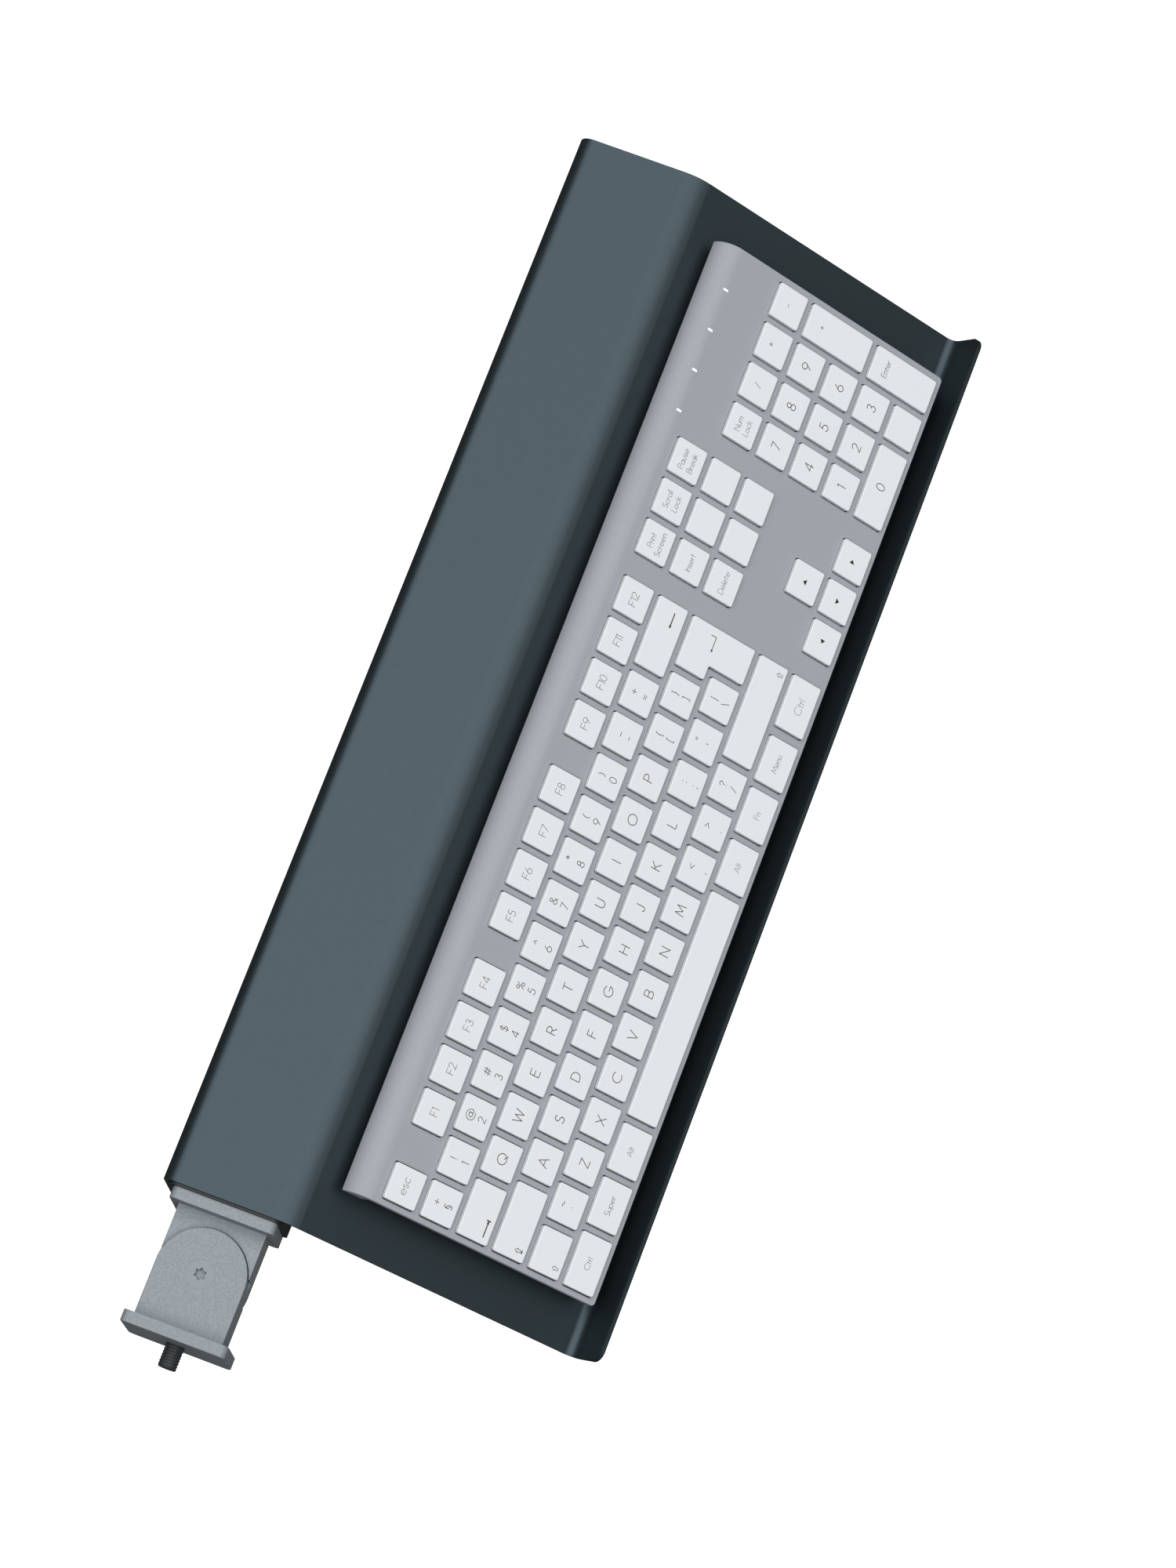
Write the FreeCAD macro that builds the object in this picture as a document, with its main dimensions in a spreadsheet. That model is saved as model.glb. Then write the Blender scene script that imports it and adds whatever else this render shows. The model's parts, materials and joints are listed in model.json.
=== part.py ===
"""Swivel keyboard tray with a full-size keyboard lying in it.

Frame: millimetres, +Z up. The origin is where the axis of the mounting stud meets the mounting
face. +X runs along the tray, away from the mount, and the user sits on the -Y side.
The keyboard's own frame has x along its keys, y away from the user and z out of its key tops;
its origin is the middle of the top of the first row, at the left end of the keyboard.
"""
import FreeCAD, Part
import math
import os
import Sketcher

V = FreeCAD.Vector
doc = FreeCAD.newDocument("swivel_keyboard_tray")

# ---------------------------------------------------------------- driving dimensions
DIMENSIONS = {
    # swivel bracket
    "plate_thick": 5.0, "plate_wide": 45.0, "plate_tall": 40.0, "plate_round": 3.0,
    "tongue_wide": 38.0, "tongue_high": 12.0, "tongue_low": 9.5, "pivot_reach": 29.05,
    "lap_gap": 0.3, "shoulder_gap": 0.35, "shoulder_tip": 5.0, "cast_round": 0.5,
    "pivot_shank": 3.0, "pivot_head": 6.0, "head_sunk": 0.1, "running_gap": 0.05,
    "washer_thick": 0.5, "stud_outer": 4.0, "stud_core": 3.35, "stud_reach": 10.0,
    "stud_depth": 8.6, "stud_chamfer": 0.5, "stud_hole_gap": 0.05, "stud_relief": 4.3,
    "stud_hole_extra": 0.4, "stud_overrun": 1.5, "thread_gap": 0.02,
    "nut_across": 13.0, "nut_thick": 6.5, "stud_washer_thick": 1.6, "stud_washer_gap": 0.2,
    "pivot_nut_across": 10.0, "pivot_nut_thick": 5.0, "pivot_nut_gap": 0.1, "pivot_nut_sunk": 0.3,
    "friction_inset": 0.6, "star_centre": 1.92, "star_lobe": 0.66, "star_deep": 2.4,
    # tray
    "tray_start": 59.1, "tray_long": 477.8, "sheet_thick": 2.0, "top_level": 23.0,
    "rear_face": 27.4, "bend_line": -26.15, "slope_degrees": 35.05, "slope_long": 149.1,
    "lip_tall": 19.7, "flange_tall": 42.0, "tight_bend": 4.0, "soft_bend": 18.0, "lip_corner": 5.0,
    # carrier under the top face
    "carrier_wide": 49.8, "carrier_tall": 40.0, "carrier_wall": 2.5, "carrier_round": 5.0,
    "end_plate_thick": 8.0, "end_plate_hole_gap": 0.2, "end_cap_thick": 2.0,
    "cap_plug_deep": 14.0, "cap_plug_gap": 0.1, "cap_wall": 2.0, "cap_hollow_round": 1.0,
    "flange_screws": 4.0, "flange_screw_first": 40.0, "flange_screw": 2.5,
    "flange_head": 4.75, "flange_head_tall": 1.4, "flange_head_round": 0.84,
    "flange_socket": 3.0, "flange_reach": 13.0, "flange_hole_gap": 0.25,
    "rivet_nut": 3.4, "rivet_nut_long": 11.0, "rivet_nut_set_in": 0.1,
    # keyboard
    "key_tilt": 35.82, "key_pitch": 19.05, "key_gap": 3.5, "key_tall": 3.2, "key_round": 1.0,
    "key_edge": 0.35, "key_travel": 1.5, "aperture_gap": 0.55, "deck_drop": 1.6,
    "deck_thick": 1.6, "deck_left": -1.0, "deck_long": 433.4, "deck_front": -106.3,
    "deck_skirt": 4.6, "deck_corner": 1.8, "deck_edge": 0.45, "rear_curve": 9.4, "rear_centre": 11.4,
    "shell_inset": 1.0, "shell_bottom": 13.6, "shell_wall": 1.8,
    "light_x": 355.4, "light_y": 12.2, "light_wide": 1.1, "light_long": 2.6, "light_round": 0.33,
    "keyboard_x": 80.86, "keyboard_y": -64.98, "keyboard_z": 16.24,
    # where the keys stand along the keyboard
    "main_left": 1.95, "main_right": 280.7, "navigation_left": 291.7, "numpad_left": 356.3,
    "f1_left": 34.3, "f5_left": 121.15, "f9_left": 208.0,
    "tab_wide": 23.9, "caps_wide": 30.4, "left_shift_wide": 18.7, "modifier_wide": 20.7,
    "space_wide": 101.8,
    # inside and under the keyboard
    "layer_left": 3.2, "layer_right": 428.2, "layer_front": -102.8, "layer_back": 14.0,
    "plate_low": -8.4, "membrane_low": -7.6, "domes_low": -7.2, "domes_high": -6.6,
    "dome_tip": -4.95, "dome_foot_radius": 3.4, "dome_tip_radius": 2.2,
    "boss": 3.0, "boss_hole": 1.05, "boss_sink": 2.1, "boss_sink_deep": 1.2,
    "case_screw": 1.0, "case_screw_head": 1.9, "case_screw_long": 4.4,
    "board_left": 176.0, "board_right": 256.0, "board_front": -8.0, "board_back": 6.0,
    "board_low": -11.2, "board_high": -9.6, "chip_left": 206.0, "chip_right": 218.0,
    "chip_front": -6.0, "chip_back": 4.0, "chip_high": -8.7,
    "foot_long": 24.0, "foot_wide": 8.0, "foot_round": 3.0, "foot_from_end": 41.0,
    "front_feet": -88.0, "rear_feet": 2.0, "shell_step": 5.6, "shell_chamfer": 1.0,
    "shell_foot_inset": 0.6,
}


def make_sheet():
    """Put every driving dimension in the spreadsheet, under its own alias."""
    cells = doc.addObject("Spreadsheet::Sheet", "dims")
    for row, (alias, value) in enumerate(DIMENSIONS.items(), start=1):
        cells.set("A%d" % row, alias)
        cells.set("B%d" % row, "%g" % value)
        cells.setAlias("B%d" % row, alias)
    doc.recompute()
    return cells


sheet = make_sheet()
sub_parts = []


def size(alias):
    return float(sheet.get(alias))


def finish_part(item, label):
    item.Label = label
    sub_parts.append(item)
    return item


# ---------------------------------------------------------------- PartDesign helpers
def new_body(label):
    return finish_part(doc.addObject("PartDesign::Body", label), label)


def new_sketch(body, plane, offset=(0, 0, 0)):
    """Attach a sketch to one of the body's own origin planes, moved by offset in its frame."""
    sketch = body.newObject("Sketcher::SketchObject", "sketch")
    support = [p for p in body.Origin.OriginFeatures if p.Role == plane][0]
    sketch.AttachmentSupport = [(support, "")]
    sketch.MapMode = "FlatFace"
    sketch.AttachmentOffset = FreeCAD.Placement(V(*offset), FreeCAD.Rotation())
    return sketch


def draw_rectangle(sketch, centre_x, centre_y, width, height):
    """A rectangle fixed by four dimensions; width and height are expressions on the sheet."""
    wide = doc_value(width)
    tall = doc_value(height)
    corners = [(-0.5, -0.5), (0.5, -0.5), (0.5, 0.5), (-0.5, 0.5)]
    points = [V(centre_x + sx * wide, centre_y + sy * tall, 0) for sx, sy in corners]
    first = sketch.GeometryCount
    for i in range(4):
        sketch.addGeometry(Part.LineSegment(points[i], points[(i + 1) % 4]), False)
    for i in range(4):
        follower = first + (i + 1) % 4
        sketch.addConstraint(Sketcher.Constraint("Coincident", first + i, 2, follower, 1))
        direction = "Horizontal" if i % 2 == 0 else "Vertical"
        sketch.addConstraint(Sketcher.Constraint(direction, first + i))
    across = sketch.addConstraint(Sketcher.Constraint("DistanceX", first, 1, first, 2, wide))
    sketch.setExpression("Constraints[%d]" % across, width)
    upward = sketch.addConstraint(Sketcher.Constraint("DistanceY", first + 1, 1, first + 1, 2, tall))
    sketch.setExpression("Constraints[%d]" % upward, height)
    sketch.addConstraint(Sketcher.Constraint("DistanceX", -1, 1, first, 1, points[0].x))
    sketch.addConstraint(Sketcher.Constraint("DistanceY", -1, 1, first, 1, points[0].y))


def doc_value(expression):
    """The number that a sheet expression such as dims.plate_wide - 1 stands for."""
    value = sheet.evalExpression(expression)
    return float(getattr(value, "Value", value))


def draw_circle(sketch, centre_x, centre_y, radius):
    """A circle whose radius is an expression on the sheet."""
    index = sketch.addGeometry(
        Part.Circle(V(centre_x, centre_y, 0), V(0, 0, 1), doc_value(radius)), False)
    bound = sketch.addConstraint(Sketcher.Constraint("Radius", index, doc_value(radius)))
    sketch.setExpression("Constraints[%d]" % bound, radius)
    sketch.addConstraint(Sketcher.Constraint("DistanceX", -1, 1, index, 3, centre_x))
    sketch.addConstraint(Sketcher.Constraint("DistanceY", -1, 1, index, 3, centre_y))


def draw_polygon(sketch, points):
    for i, (x, y) in enumerate(points):
        next_x, next_y = points[(i + 1) % len(points)]
        sketch.addGeometry(Part.LineSegment(V(x, y, 0), V(next_x, next_y, 0)), False)


def draw_outline(sketch, wire):
    """Copy the straight and round edges of a flat wire into the sketch."""
    for edge in wire.Edges:
        curve = edge.Curve
        if isinstance(curve, Part.Line):
            ends = [vertex.Point for vertex in edge.Vertexes]
            sketch.addGeometry(Part.LineSegment(ends[0], ends[1]), False)
        else:
            first, last = edge.ParameterRange
            sketch.addGeometry(Part.ArcOfCircle(curve, first, last), False)


def pad(body, sketch, length, reverse=False):
    feature = body.newObject("PartDesign::Pad", "pad")
    feature.Profile = sketch
    feature.setExpression("Length", length)
    feature.Reversed = reverse
    doc.recompute()
    return feature


def pocket(body, sketch, length, reverse=False):
    """Cut the sketch away, and stop if nothing was cut."""
    before = body.Shape.Volume
    feature = body.newObject("PartDesign::Pocket", "pocket")
    feature.Profile = sketch
    feature.setExpression("Length", length)
    feature.Reversed = reverse
    doc.recompute()
    if body.Shape.Volume > before - 1e-3:
        raise RuntimeError("a pocket in %s cuts nothing" % body.Label)
    return feature


def turned(body, kind, sketch):
    """A full revolution or groove of the sketch about its own vertical axis."""
    feature = body.newObject("PartDesign::" + kind, kind.lower())
    feature.Profile = sketch
    feature.ReferenceAxis = (sketch, ["V_Axis"])
    feature.Angle = 360
    doc.recompute()
    return feature


def round_edges(body, chosen, radius):
    """Fillet the edges that chosen(edge) picks, with a radius from the sheet."""
    names = ["Edge%d" % (i + 1) for i, edge in enumerate(body.Shape.Edges) if chosen(edge)]
    base = body.Tip
    feature = body.newObject("PartDesign::Fillet", "fillet")
    feature.Base = (base, names)
    feature.setExpression("Radius", radius)
    doc.recompute()
    body.Tip = feature
    return feature


def runs_along(edge, axis):
    """True for a straight edge parallel to the unit vector axis."""
    if len(edge.Vertexes) != 2 or not isinstance(edge.Curve, Part.Line):
        return False
    span = edge.Vertexes[1].Point - edge.Vertexes[0].Point
    return abs(abs(span.normalize().dot(axis)) - 1) < 1e-6


# ---------------------------------------------------------------- swivel bracket
PLATE_THICK = size("plate_thick")
PIVOT = size("pivot_reach")
HALF_TONGUE = size("tongue_wide") / 2
TONGUE_HIGH = size("tongue_high")
TONGUE_LOW = size("tongue_low")


def tongue_wire():
    """Tongue outline: straight sides from inside the plate, half a circle about the pivot."""
    root = PLATE_THICK / 2
    lines = [
        Part.LineSegment(V(PIVOT, HALF_TONGUE, 0), V(root, HALF_TONGUE, 0)),
        Part.LineSegment(V(root, HALF_TONGUE, 0), V(root, -HALF_TONGUE, 0)),
        Part.LineSegment(V(root, -HALF_TONGUE, 0), V(PIVOT, -HALF_TONGUE, 0)),
        Part.Arc(V(PIVOT, -HALF_TONGUE, 0), V(PIVOT + HALF_TONGUE, 0, 0), V(PIVOT, HALF_TONGUE, 0)),
    ]
    return Part.Wire([line.toShape() for line in lines])


def make_bracket(label):
    """One cast half: an end plate, and a tongue whose round upper layer laps the other half."""
    body = new_body(label)
    face = new_sketch(body, "YZ_Plane")
    draw_rectangle(face, 0, 0, "dims.plate_wide", "dims.plate_tall")
    pad(body, face, "dims.plate_thick")
    round_edges(body, lambda edge: runs_along(edge, V(1, 0, 0)), "dims.plate_round")

    tongue = new_sketch(body, "XY_Plane", (0, 0, -TONGUE_LOW))
    draw_outline(tongue, tongue_wire())
    pad(body, tongue, "dims.tongue_high + dims.tongue_low")

    shoulder = new_sketch(body, "XY_Plane", (0, 0, size("lap_gap")))
    draw_circle(shoulder, PIVOT, 0, "dims.tongue_wide / 2 + dims.shoulder_gap")
    pocket(body, shoulder, "dims.tongue_low + dims.lap_gap")

    tips = new_sketch(body, "XY_Plane", (0, 0, size("lap_gap")))
    draw_rectangle(tips, PIVOT - size("shoulder_tip") + HALF_TONGUE, 0,
                   "dims.tongue_wide", "dims.tongue_wide + 2")
    pocket(body, tips, "dims.tongue_low + dims.lap_gap")

    stud = new_sketch(body, "YZ_Plane")
    draw_circle(stud, 0, 0, "dims.stud_core + dims.stud_hole_gap")
    pocket(body, stud, "dims.stud_depth + dims.stud_hole_extra", reverse=True)
    relief = new_sketch(body, "YZ_Plane")
    draw_circle(relief, 0, 0, "dims.stud_relief")
    pocket(body, relief, "dims.stud_chamfer", reverse=True)
    return body


def soften_casting(body):
    """Round the edges of the plate's two faces and of the tongue's top, as on a casting."""
    def is_outline(edge):
        box = edge.BoundBox
        on_plate_face = box.XLength < 1e-6 and box.XMin < 1e-6
        on_tongue_top = box.ZLength < 1e-6 and abs(box.ZMax - TONGUE_HIGH) < 1e-6
        far_from_centre = max(abs(box.YMin), abs(box.YMax)) > HALF_TONGUE - 1.5
        clear_of_plate = box.XMax > PLATE_THICK + 1
        return far_from_centre and (on_plate_face or (on_tongue_top and clear_of_plate))
    round_edges(body, is_outline, "dims.cast_round")


def make_base_bracket():
    """The half that is bolted to the support, countersunk for the pivot screw."""
    body = make_bracket("base_bracket")
    gap = size("running_gap")
    shank = size("pivot_shank") + gap
    head = size("pivot_head") + gap
    sunk = TONGUE_HIGH - size("head_sunk")
    bore = new_sketch(body, "XZ_Plane", (PIVOT, 0, 0))
    draw_polygon(bore, [(0, -1), (shank, -1), (shank, sunk - (head - shank)), (head, sunk),
                        (head, TONGUE_HIGH + 1), (0, TONGUE_HIGH + 1)])
    turned(body, "Groove", bore)
    soften_casting(body)
    return body


def hexagon(across, bore=None, thick=1.0):
    """A hexagonal prism along +Z, with a round bore if one is given."""
    corner = across / math.sqrt(3)
    points = [V(corner * math.cos(math.radians(60 * i)), corner * math.sin(math.radians(60 * i)), 0)
              for i in range(7)]
    prism = Part.Face(Part.makePolygon(points)).extrude(V(0, 0, thick))
    if bore:
        prism = prism.cut(Part.makeCylinder(bore, thick))
    return prism


def flip_over():
    """The second half faces the first one: half a turn about Y, plates back to back."""
    return FreeCAD.Placement(V(2 * PIVOT, 0, 0), FreeCAD.Rotation(V(0, 1, 0), 180))


def make_tray_bracket():
    """The half that carries the tray: the same casting upside down, with a nut pocket."""
    body = make_bracket("tray_bracket")
    bore = new_sketch(body, "XY_Plane", (0, 0, TONGUE_HIGH))
    draw_circle(bore, PIVOT, 0, "dims.pivot_shank + dims.running_gap")
    pocket(body, bore, "dims.tongue_high + 1")
    nut = new_sketch(body, "XY_Plane", (0, 0, TONGUE_HIGH))
    corner = (size("pivot_nut_across") / 2 + size("pivot_nut_gap")) / math.cos(math.radians(30))
    draw_polygon(nut, [(PIVOT + corner * math.cos(math.radians(60 * i)),
                        corner * math.sin(math.radians(60 * i))) for i in range(6)])
    pocket(body, nut, "dims.pivot_nut_thick + dims.pivot_nut_sunk + 2 * dims.pivot_nut_gap")
    soften_casting(body)
    body.Placement = flip_over()
    return body


def make_stud(label, outer_length):
    """A stud along X: outer thread radius outside the plate, core radius inside the casting."""
    body = new_body(label)
    outer = size("stud_outer")
    core = size("stud_core")
    chamfer = size("stud_chamfer")
    profile = new_sketch(body, "XZ_Plane")
    draw_polygon(profile, [(0, -outer_length), (outer - chamfer, -outer_length),
                           (outer, -outer_length + chamfer), (outer, 0), (core, 0),
                           (core, size("stud_depth")), (0, size("stud_depth"))])
    turned(body, "Revolution", profile)
    body.Placement = FreeCAD.Placement(V(0, 0, 0), FreeCAD.Rotation(V(0, 1, 0), 90))
    return body


def make_pivot_screw():
    """Countersunk screw with a six-lobed star recess, head up, along the swivel axis."""
    body = new_body("pivot_screw")
    shank = size("pivot_shank")
    head = size("pivot_head")
    top = TONGUE_HIGH - size("head_sunk")
    profile = new_sketch(body, "XZ_Plane")
    draw_polygon(profile, [(0, -TONGUE_HIGH + 1), (shank, -TONGUE_HIGH + 1),
                           (shank, top - (head - shank)), (head, top), (0, top)])
    turned(body, "Revolution", profile)
    recess = new_sketch(body, "XY_Plane", (0, 0, top))
    draw_circle(recess, 0, 0, "dims.star_centre")
    pocket(body, recess, "dims.star_deep")
    lobe = new_sketch(body, "XY_Plane", (0, 0, top))
    draw_circle(lobe, size("star_centre"), 0, "dims.star_lobe")
    cut = pocket(body, lobe, "dims.star_deep")
    pattern = body.newObject("PartDesign::PolarPattern", "lobes")
    pattern.Originals = [cut]
    pattern.Axis = (recess, ["N_Axis"])
    pattern.Angle = 360
    pattern.Occurrences = 6
    body.Tip = pattern
    doc.recompute()
    body.Placement = FreeCAD.Placement(V(PIVOT, 0, 0), FreeCAD.Rotation())
    return body


def make_ring(label, outer, inner, thick, placement):
    """A washer: the difference of two Part cylinders, sizes bound to the sheet."""
    rim = doc.addObject("Part::Cylinder", label + "_rim")
    hole = doc.addObject("Part::Cylinder", label + "_hole")
    for cylinder, radius in ((rim, outer), (hole, inner)):
        cylinder.setExpression("Radius", radius)
        cylinder.setExpression("Height", thick)
    ring = doc.addObject("Part::Cut", label)
    ring.Base = rim
    ring.Tool = hole
    ring.Placement = placement
    return finish_part(ring, label)


def make_feature(label, shape, placement=None):
    feature = doc.addObject("Part::Feature", label)
    feature.Shape = shape
    if placement:
        feature.Placement = placement
    return finish_part(feature, label)


def along_x(x):
    """Placement at x on the stud's axis, local +Z pointing along +X."""
    return FreeCAD.Placement(V(x, 0, 0), FreeCAD.Rotation(V(0, 1, 0), 90))


def make_swivel():
    make_base_bracket()
    make_stud("mount_stud", size("stud_reach"))
    make_ring("friction_washer", "dims.tongue_wide / 2 - dims.friction_inset",
              "dims.pivot_shank + dims.running_gap", "dims.washer_thick",
              FreeCAD.Placement(V(PIVOT, 0, -size("washer_thick") / 2), FreeCAD.Rotation()))
    make_tray_bracket()
    make_pivot_screw()
    thread_gap = size("thread_gap")
    nut_level = -TONGUE_HIGH + size("pivot_nut_sunk")
    make_feature("pivot_nut", hexagon(size("pivot_nut_across"), size("pivot_shank") + thread_gap,
                                      size("pivot_nut_thick")),
                 FreeCAD.Placement(V(PIVOT, 0, nut_level), FreeCAD.Rotation()))
    plate_back = 2 * PIVOT
    inner_face = plate_back + size("end_plate_thick")
    washer_thick = size("stud_washer_thick")
    stud = make_stud("tray_stud", size("end_plate_thick") + washer_thick + size("nut_thick")
                     + size("stud_overrun"))
    stud.Placement = FreeCAD.Placement(V(plate_back, 0, 0), FreeCAD.Rotation(V(0, 1, 0), -90))
    make_ring("stud_washer", "dims.stud_outer * 2", "dims.stud_outer + dims.stud_washer_gap",
              "dims.stud_washer_thick", along_x(inner_face))
    make_feature("stud_nut", hexagon(size("nut_across"), size("stud_outer") + thread_gap,
                                     size("nut_thick")), along_x(inner_face + washer_thick))


# ---------------------------------------------------------------- tray
TRAY_START = size("tray_start")
TRAY_LONG = size("tray_long")
SHEET = size("sheet_thick")
TOP = size("top_level")
REAR = size("rear_face")
SLOPE = math.radians(size("slope_degrees"))
DOWN_SLOPE = (-math.cos(SLOPE), -math.sin(SLOPE))
OFF_SLOPE = (-math.sin(SLOPE), math.cos(SLOPE))
TRAY_END = TRAY_START + TRAY_LONG


def along(point, direction, distance):
    return (point[0] + direction[0] * distance, point[1] + direction[1] * distance)


def tray_outline():
    """Corners of the bent sheet's section, as (y, z): the upper side out, the under side back."""
    bend = (size("bend_line"), TOP)
    trough = along(bend, DOWN_SLOPE, size("slope_long"))
    lip_inner = along(trough, OFF_SLOPE, size("lip_tall"))
    lip_outer = along(lip_inner, DOWN_SLOPE, SHEET)
    trough_outer = along(along(trough, DOWN_SLOPE, SHEET), OFF_SLOPE, -SHEET)
    bend_under = (bend[0] + SHEET * math.tan(SLOPE / 2), TOP - SHEET)
    flange_foot = TOP - size("flange_tall")
    return [(REAR, flange_foot), (REAR, TOP), bend, trough, lip_inner, lip_outer, trough_outer,
            bend_under, (REAR - SHEET, TOP - SHEET), (REAR - SHEET, flange_foot)]


def bend_edges(body, points, tolerance=0.01):
    """Names of the edges along X that pass through the given (y, z) points."""
    names = []
    for i, edge in enumerate(body.Shape.Edges):
        if not runs_along(edge, V(1, 0, 0)):
            continue
        middle = edge.CenterOfMass
        if any(math.hypot(middle.y - y, middle.z - z) < tolerance for y, z in points):
            names.append("Edge%d" % (i + 1))
    return names


def bend(body, points, radius):
    names = bend_edges(body, points)
    base = body.Tip
    feature = body.newObject("PartDesign::Fillet", "bend")
    feature.Base = (base, names)
    feature.setExpression("Radius", radius)
    doc.recompute()
    body.Tip = feature


def screw_places():
    """X of each screw through the rear flange."""
    count = int(size("flange_screws"))
    first = size("flange_screw_first")
    step = (TRAY_LONG - 2 * first) / (count - 1)
    return [TRAY_START + first + i * step for i in range(count)]


def make_tray_sheet():
    """One bent sheet: rear flange, flat top, slope for the keyboard and a turned-up lip."""
    body = new_body("tray_sheet")
    corners = tray_outline()
    profile = new_sketch(body, "YZ_Plane", (0, 0, TRAY_START))
    draw_polygon(profile, corners)
    pad(body, profile, "dims.tray_long")
    rear_top, soft, trough = corners[1], corners[2], corners[3]
    trough_outer, soft_under, rear_under = corners[6], corners[7], corners[8]
    bend(body, [rear_top, trough_outer], "dims.tight_bend + dims.sheet_thick")
    bend(body, [rear_under, trough], "dims.tight_bend")
    bend(body, [soft], "dims.soft_bend + dims.sheet_thick")
    bend(body, [soft_under], "dims.soft_bend")

    lip_top = corners[4]
    across_sheet = V(0, DOWN_SLOPE[0], DOWN_SLOPE[1])
    round_edges(body, lambda edge: runs_along(edge, across_sheet)
                and edge.distToShape(Part.Vertex(edge.CenterOfMass.x, *lip_top))[0] < 0.01,
                "dims.lip_corner")

    holes = new_sketch(body, "XZ_Plane", (0, 0, -REAR))
    for x in screw_places():
        draw_circle(holes, x, 0, "dims.flange_screw + dims.flange_hole_gap")
    pocket(body, holes, "dims.sheet_thick + 1", reverse=True)
    return body


def rounded_box(x, long, wide, tall, corner, centre_y=0.0, centre_z=0.0):
    """A bar along X with a rounded rectangular section."""
    box = Part.makeBox(long, wide, tall, V(x, centre_y - wide / 2, centre_z - tall / 2))
    edges = [edge for edge in box.Edges if runs_along(edge, V(1, 0, 0))]
    return box.makeFillet(corner, edges)


CARRIER_Y = REAR - SHEET - size("running_gap") - size("carrier_wide") / 2
CARRIER_Z = TOP - SHEET - size("carrier_tall") / 2
PLATE_BACK = 2 * PIVOT
TUBE_START = PLATE_BACK + size("end_plate_thick")
TUBE_END = TRAY_END - size("end_cap_thick")


def make_carrier():
    """Rectangular tube under the top face, its welded end plate and its plastic end cap."""
    wide = size("carrier_wide")
    tall = size("carrier_tall")
    wall = size("carrier_wall")
    corner = size("carrier_round")
    tube = rounded_box(TUBE_START, TUBE_END - TUBE_START, wide, tall, corner, CARRIER_Y, CARRIER_Z)
    bore = rounded_box(TUBE_START - 1, TUBE_END - TUBE_START + 2, wide - 2 * wall, tall - 2 * wall,
                       corner - wall, CARRIER_Y, CARRIER_Z)
    tube = tube.cut(bore)
    nut_hole = size("rivet_nut") + size("running_gap")
    for x in screw_places():
        start = V(x, REAR - SHEET - 2 * wall, 0)
        tube = tube.cut(Part.makeCylinder(nut_hole, 3 * wall, start, V(0, 1, 0)))
    make_feature("carrier_tube", tube)

    thick = size("end_plate_thick")
    plate = rounded_box(PLATE_BACK, thick, wide, tall, corner, CARRIER_Y, CARRIER_Z)
    hole = Part.makeCylinder(size("stud_outer") + size("end_plate_hole_gap"), 3 * thick,
                             V(PLATE_BACK - thick, 0, 0), V(1, 0, 0))
    make_feature("end_plate", plate.cut(hole))

    flange = rounded_box(TUBE_END, size("end_cap_thick"), wide, tall, corner, CARRIER_Y, CARRIER_Z)
    deep = size("cap_plug_deep")
    slack = wall + size("cap_plug_gap")
    plug = rounded_box(TUBE_END - deep, deep + 0.5, wide - 2 * slack, tall - 2 * slack,
                       corner - wall, CARRIER_Y, CARRIER_Z)
    slack_in = slack + size("cap_wall")
    hollow = rounded_box(TUBE_END - deep - 1, deep + 1, wide - 2 * slack_in, tall - 2 * slack_in,
                         size("cap_hollow_round"), CARRIER_Y, CARRIER_Z)
    make_feature("end_cap", flange.fuse(plug.cut(hollow)).removeSplitter())


def make_flange_fixings():
    """Low-head screws through the rear flange, each in a rivet nut in the tube's wall."""
    radius = size("flange_screw")
    head_tall = size("flange_head_tall")
    reach = size("flange_reach")
    nut_long = size("rivet_nut_long")
    to_rear = V(0, 1, 0)
    screws = []
    nuts = []
    for x in screw_places():
        head = Part.makeCylinder(size("flange_head"), head_tall, V(x, REAR, 0), to_rear)
        rim = [edge for edge in head.Edges if edge.Closed and isinstance(edge.Curve, Part.Circle)
               and edge.CenterOfMass.y > REAR + head_tall - 0.1]
        head = head.makeFillet(size("flange_head_round"), rim)
        socket = hexagon(size("flange_socket"), thick=head_tall)
        socket.Placement = FreeCAD.Placement(V(x, REAR + head_tall + 0.1, 0),
                                             FreeCAD.Rotation(V(1, 0, 0), 90))
        shank = Part.makeCylinder(radius, reach, V(x, REAR - reach, 0), to_rear)
        screws.append(head.fuse(shank).cut(socket))
        nut_start = V(x, REAR - SHEET - nut_long - size("rivet_nut_set_in"), 0)
        nut = Part.makeCylinder(size("rivet_nut"), nut_long, nut_start, to_rear)
        thread = Part.makeCylinder(radius + size("running_gap"), nut_long, nut_start, to_rear)
        nuts.append(nut.cut(thread))
    make_feature("flange_screws", Part.makeCompound(screws))
    make_feature("rivet_nuts", Part.makeCompound(nuts))


# ---------------------------------------------------------------- keyboard
PITCH = size("key_pitch")
GAP = size("key_gap")
UNIT = PITCH - GAP
MAIN_LEFT = size("main_left")
MAIN_RIGHT = size("main_right")
NAVIGATION_LEFT = size("navigation_left")
NUMPAD_LEFT = size("numpad_left")
TAB_WIDE = size("tab_wide")
CAPS_WIDE = size("caps_wide")
LEFT_SHIFT_WIDE = size("left_shift_wide")
MODIFIER_WIDE = size("modifier_wide")
SPACE_WIDE = size("space_wide")
DOUBLE = 2 * PITCH - GAP


def key_row(left, row, widths):
    """Keys side by side from x = left: a list of (x, width, row, rows high)."""
    keys = []
    for width in widths:
        keys.append((left, width, row, 1))
        left += width + GAP
    return keys


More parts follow.
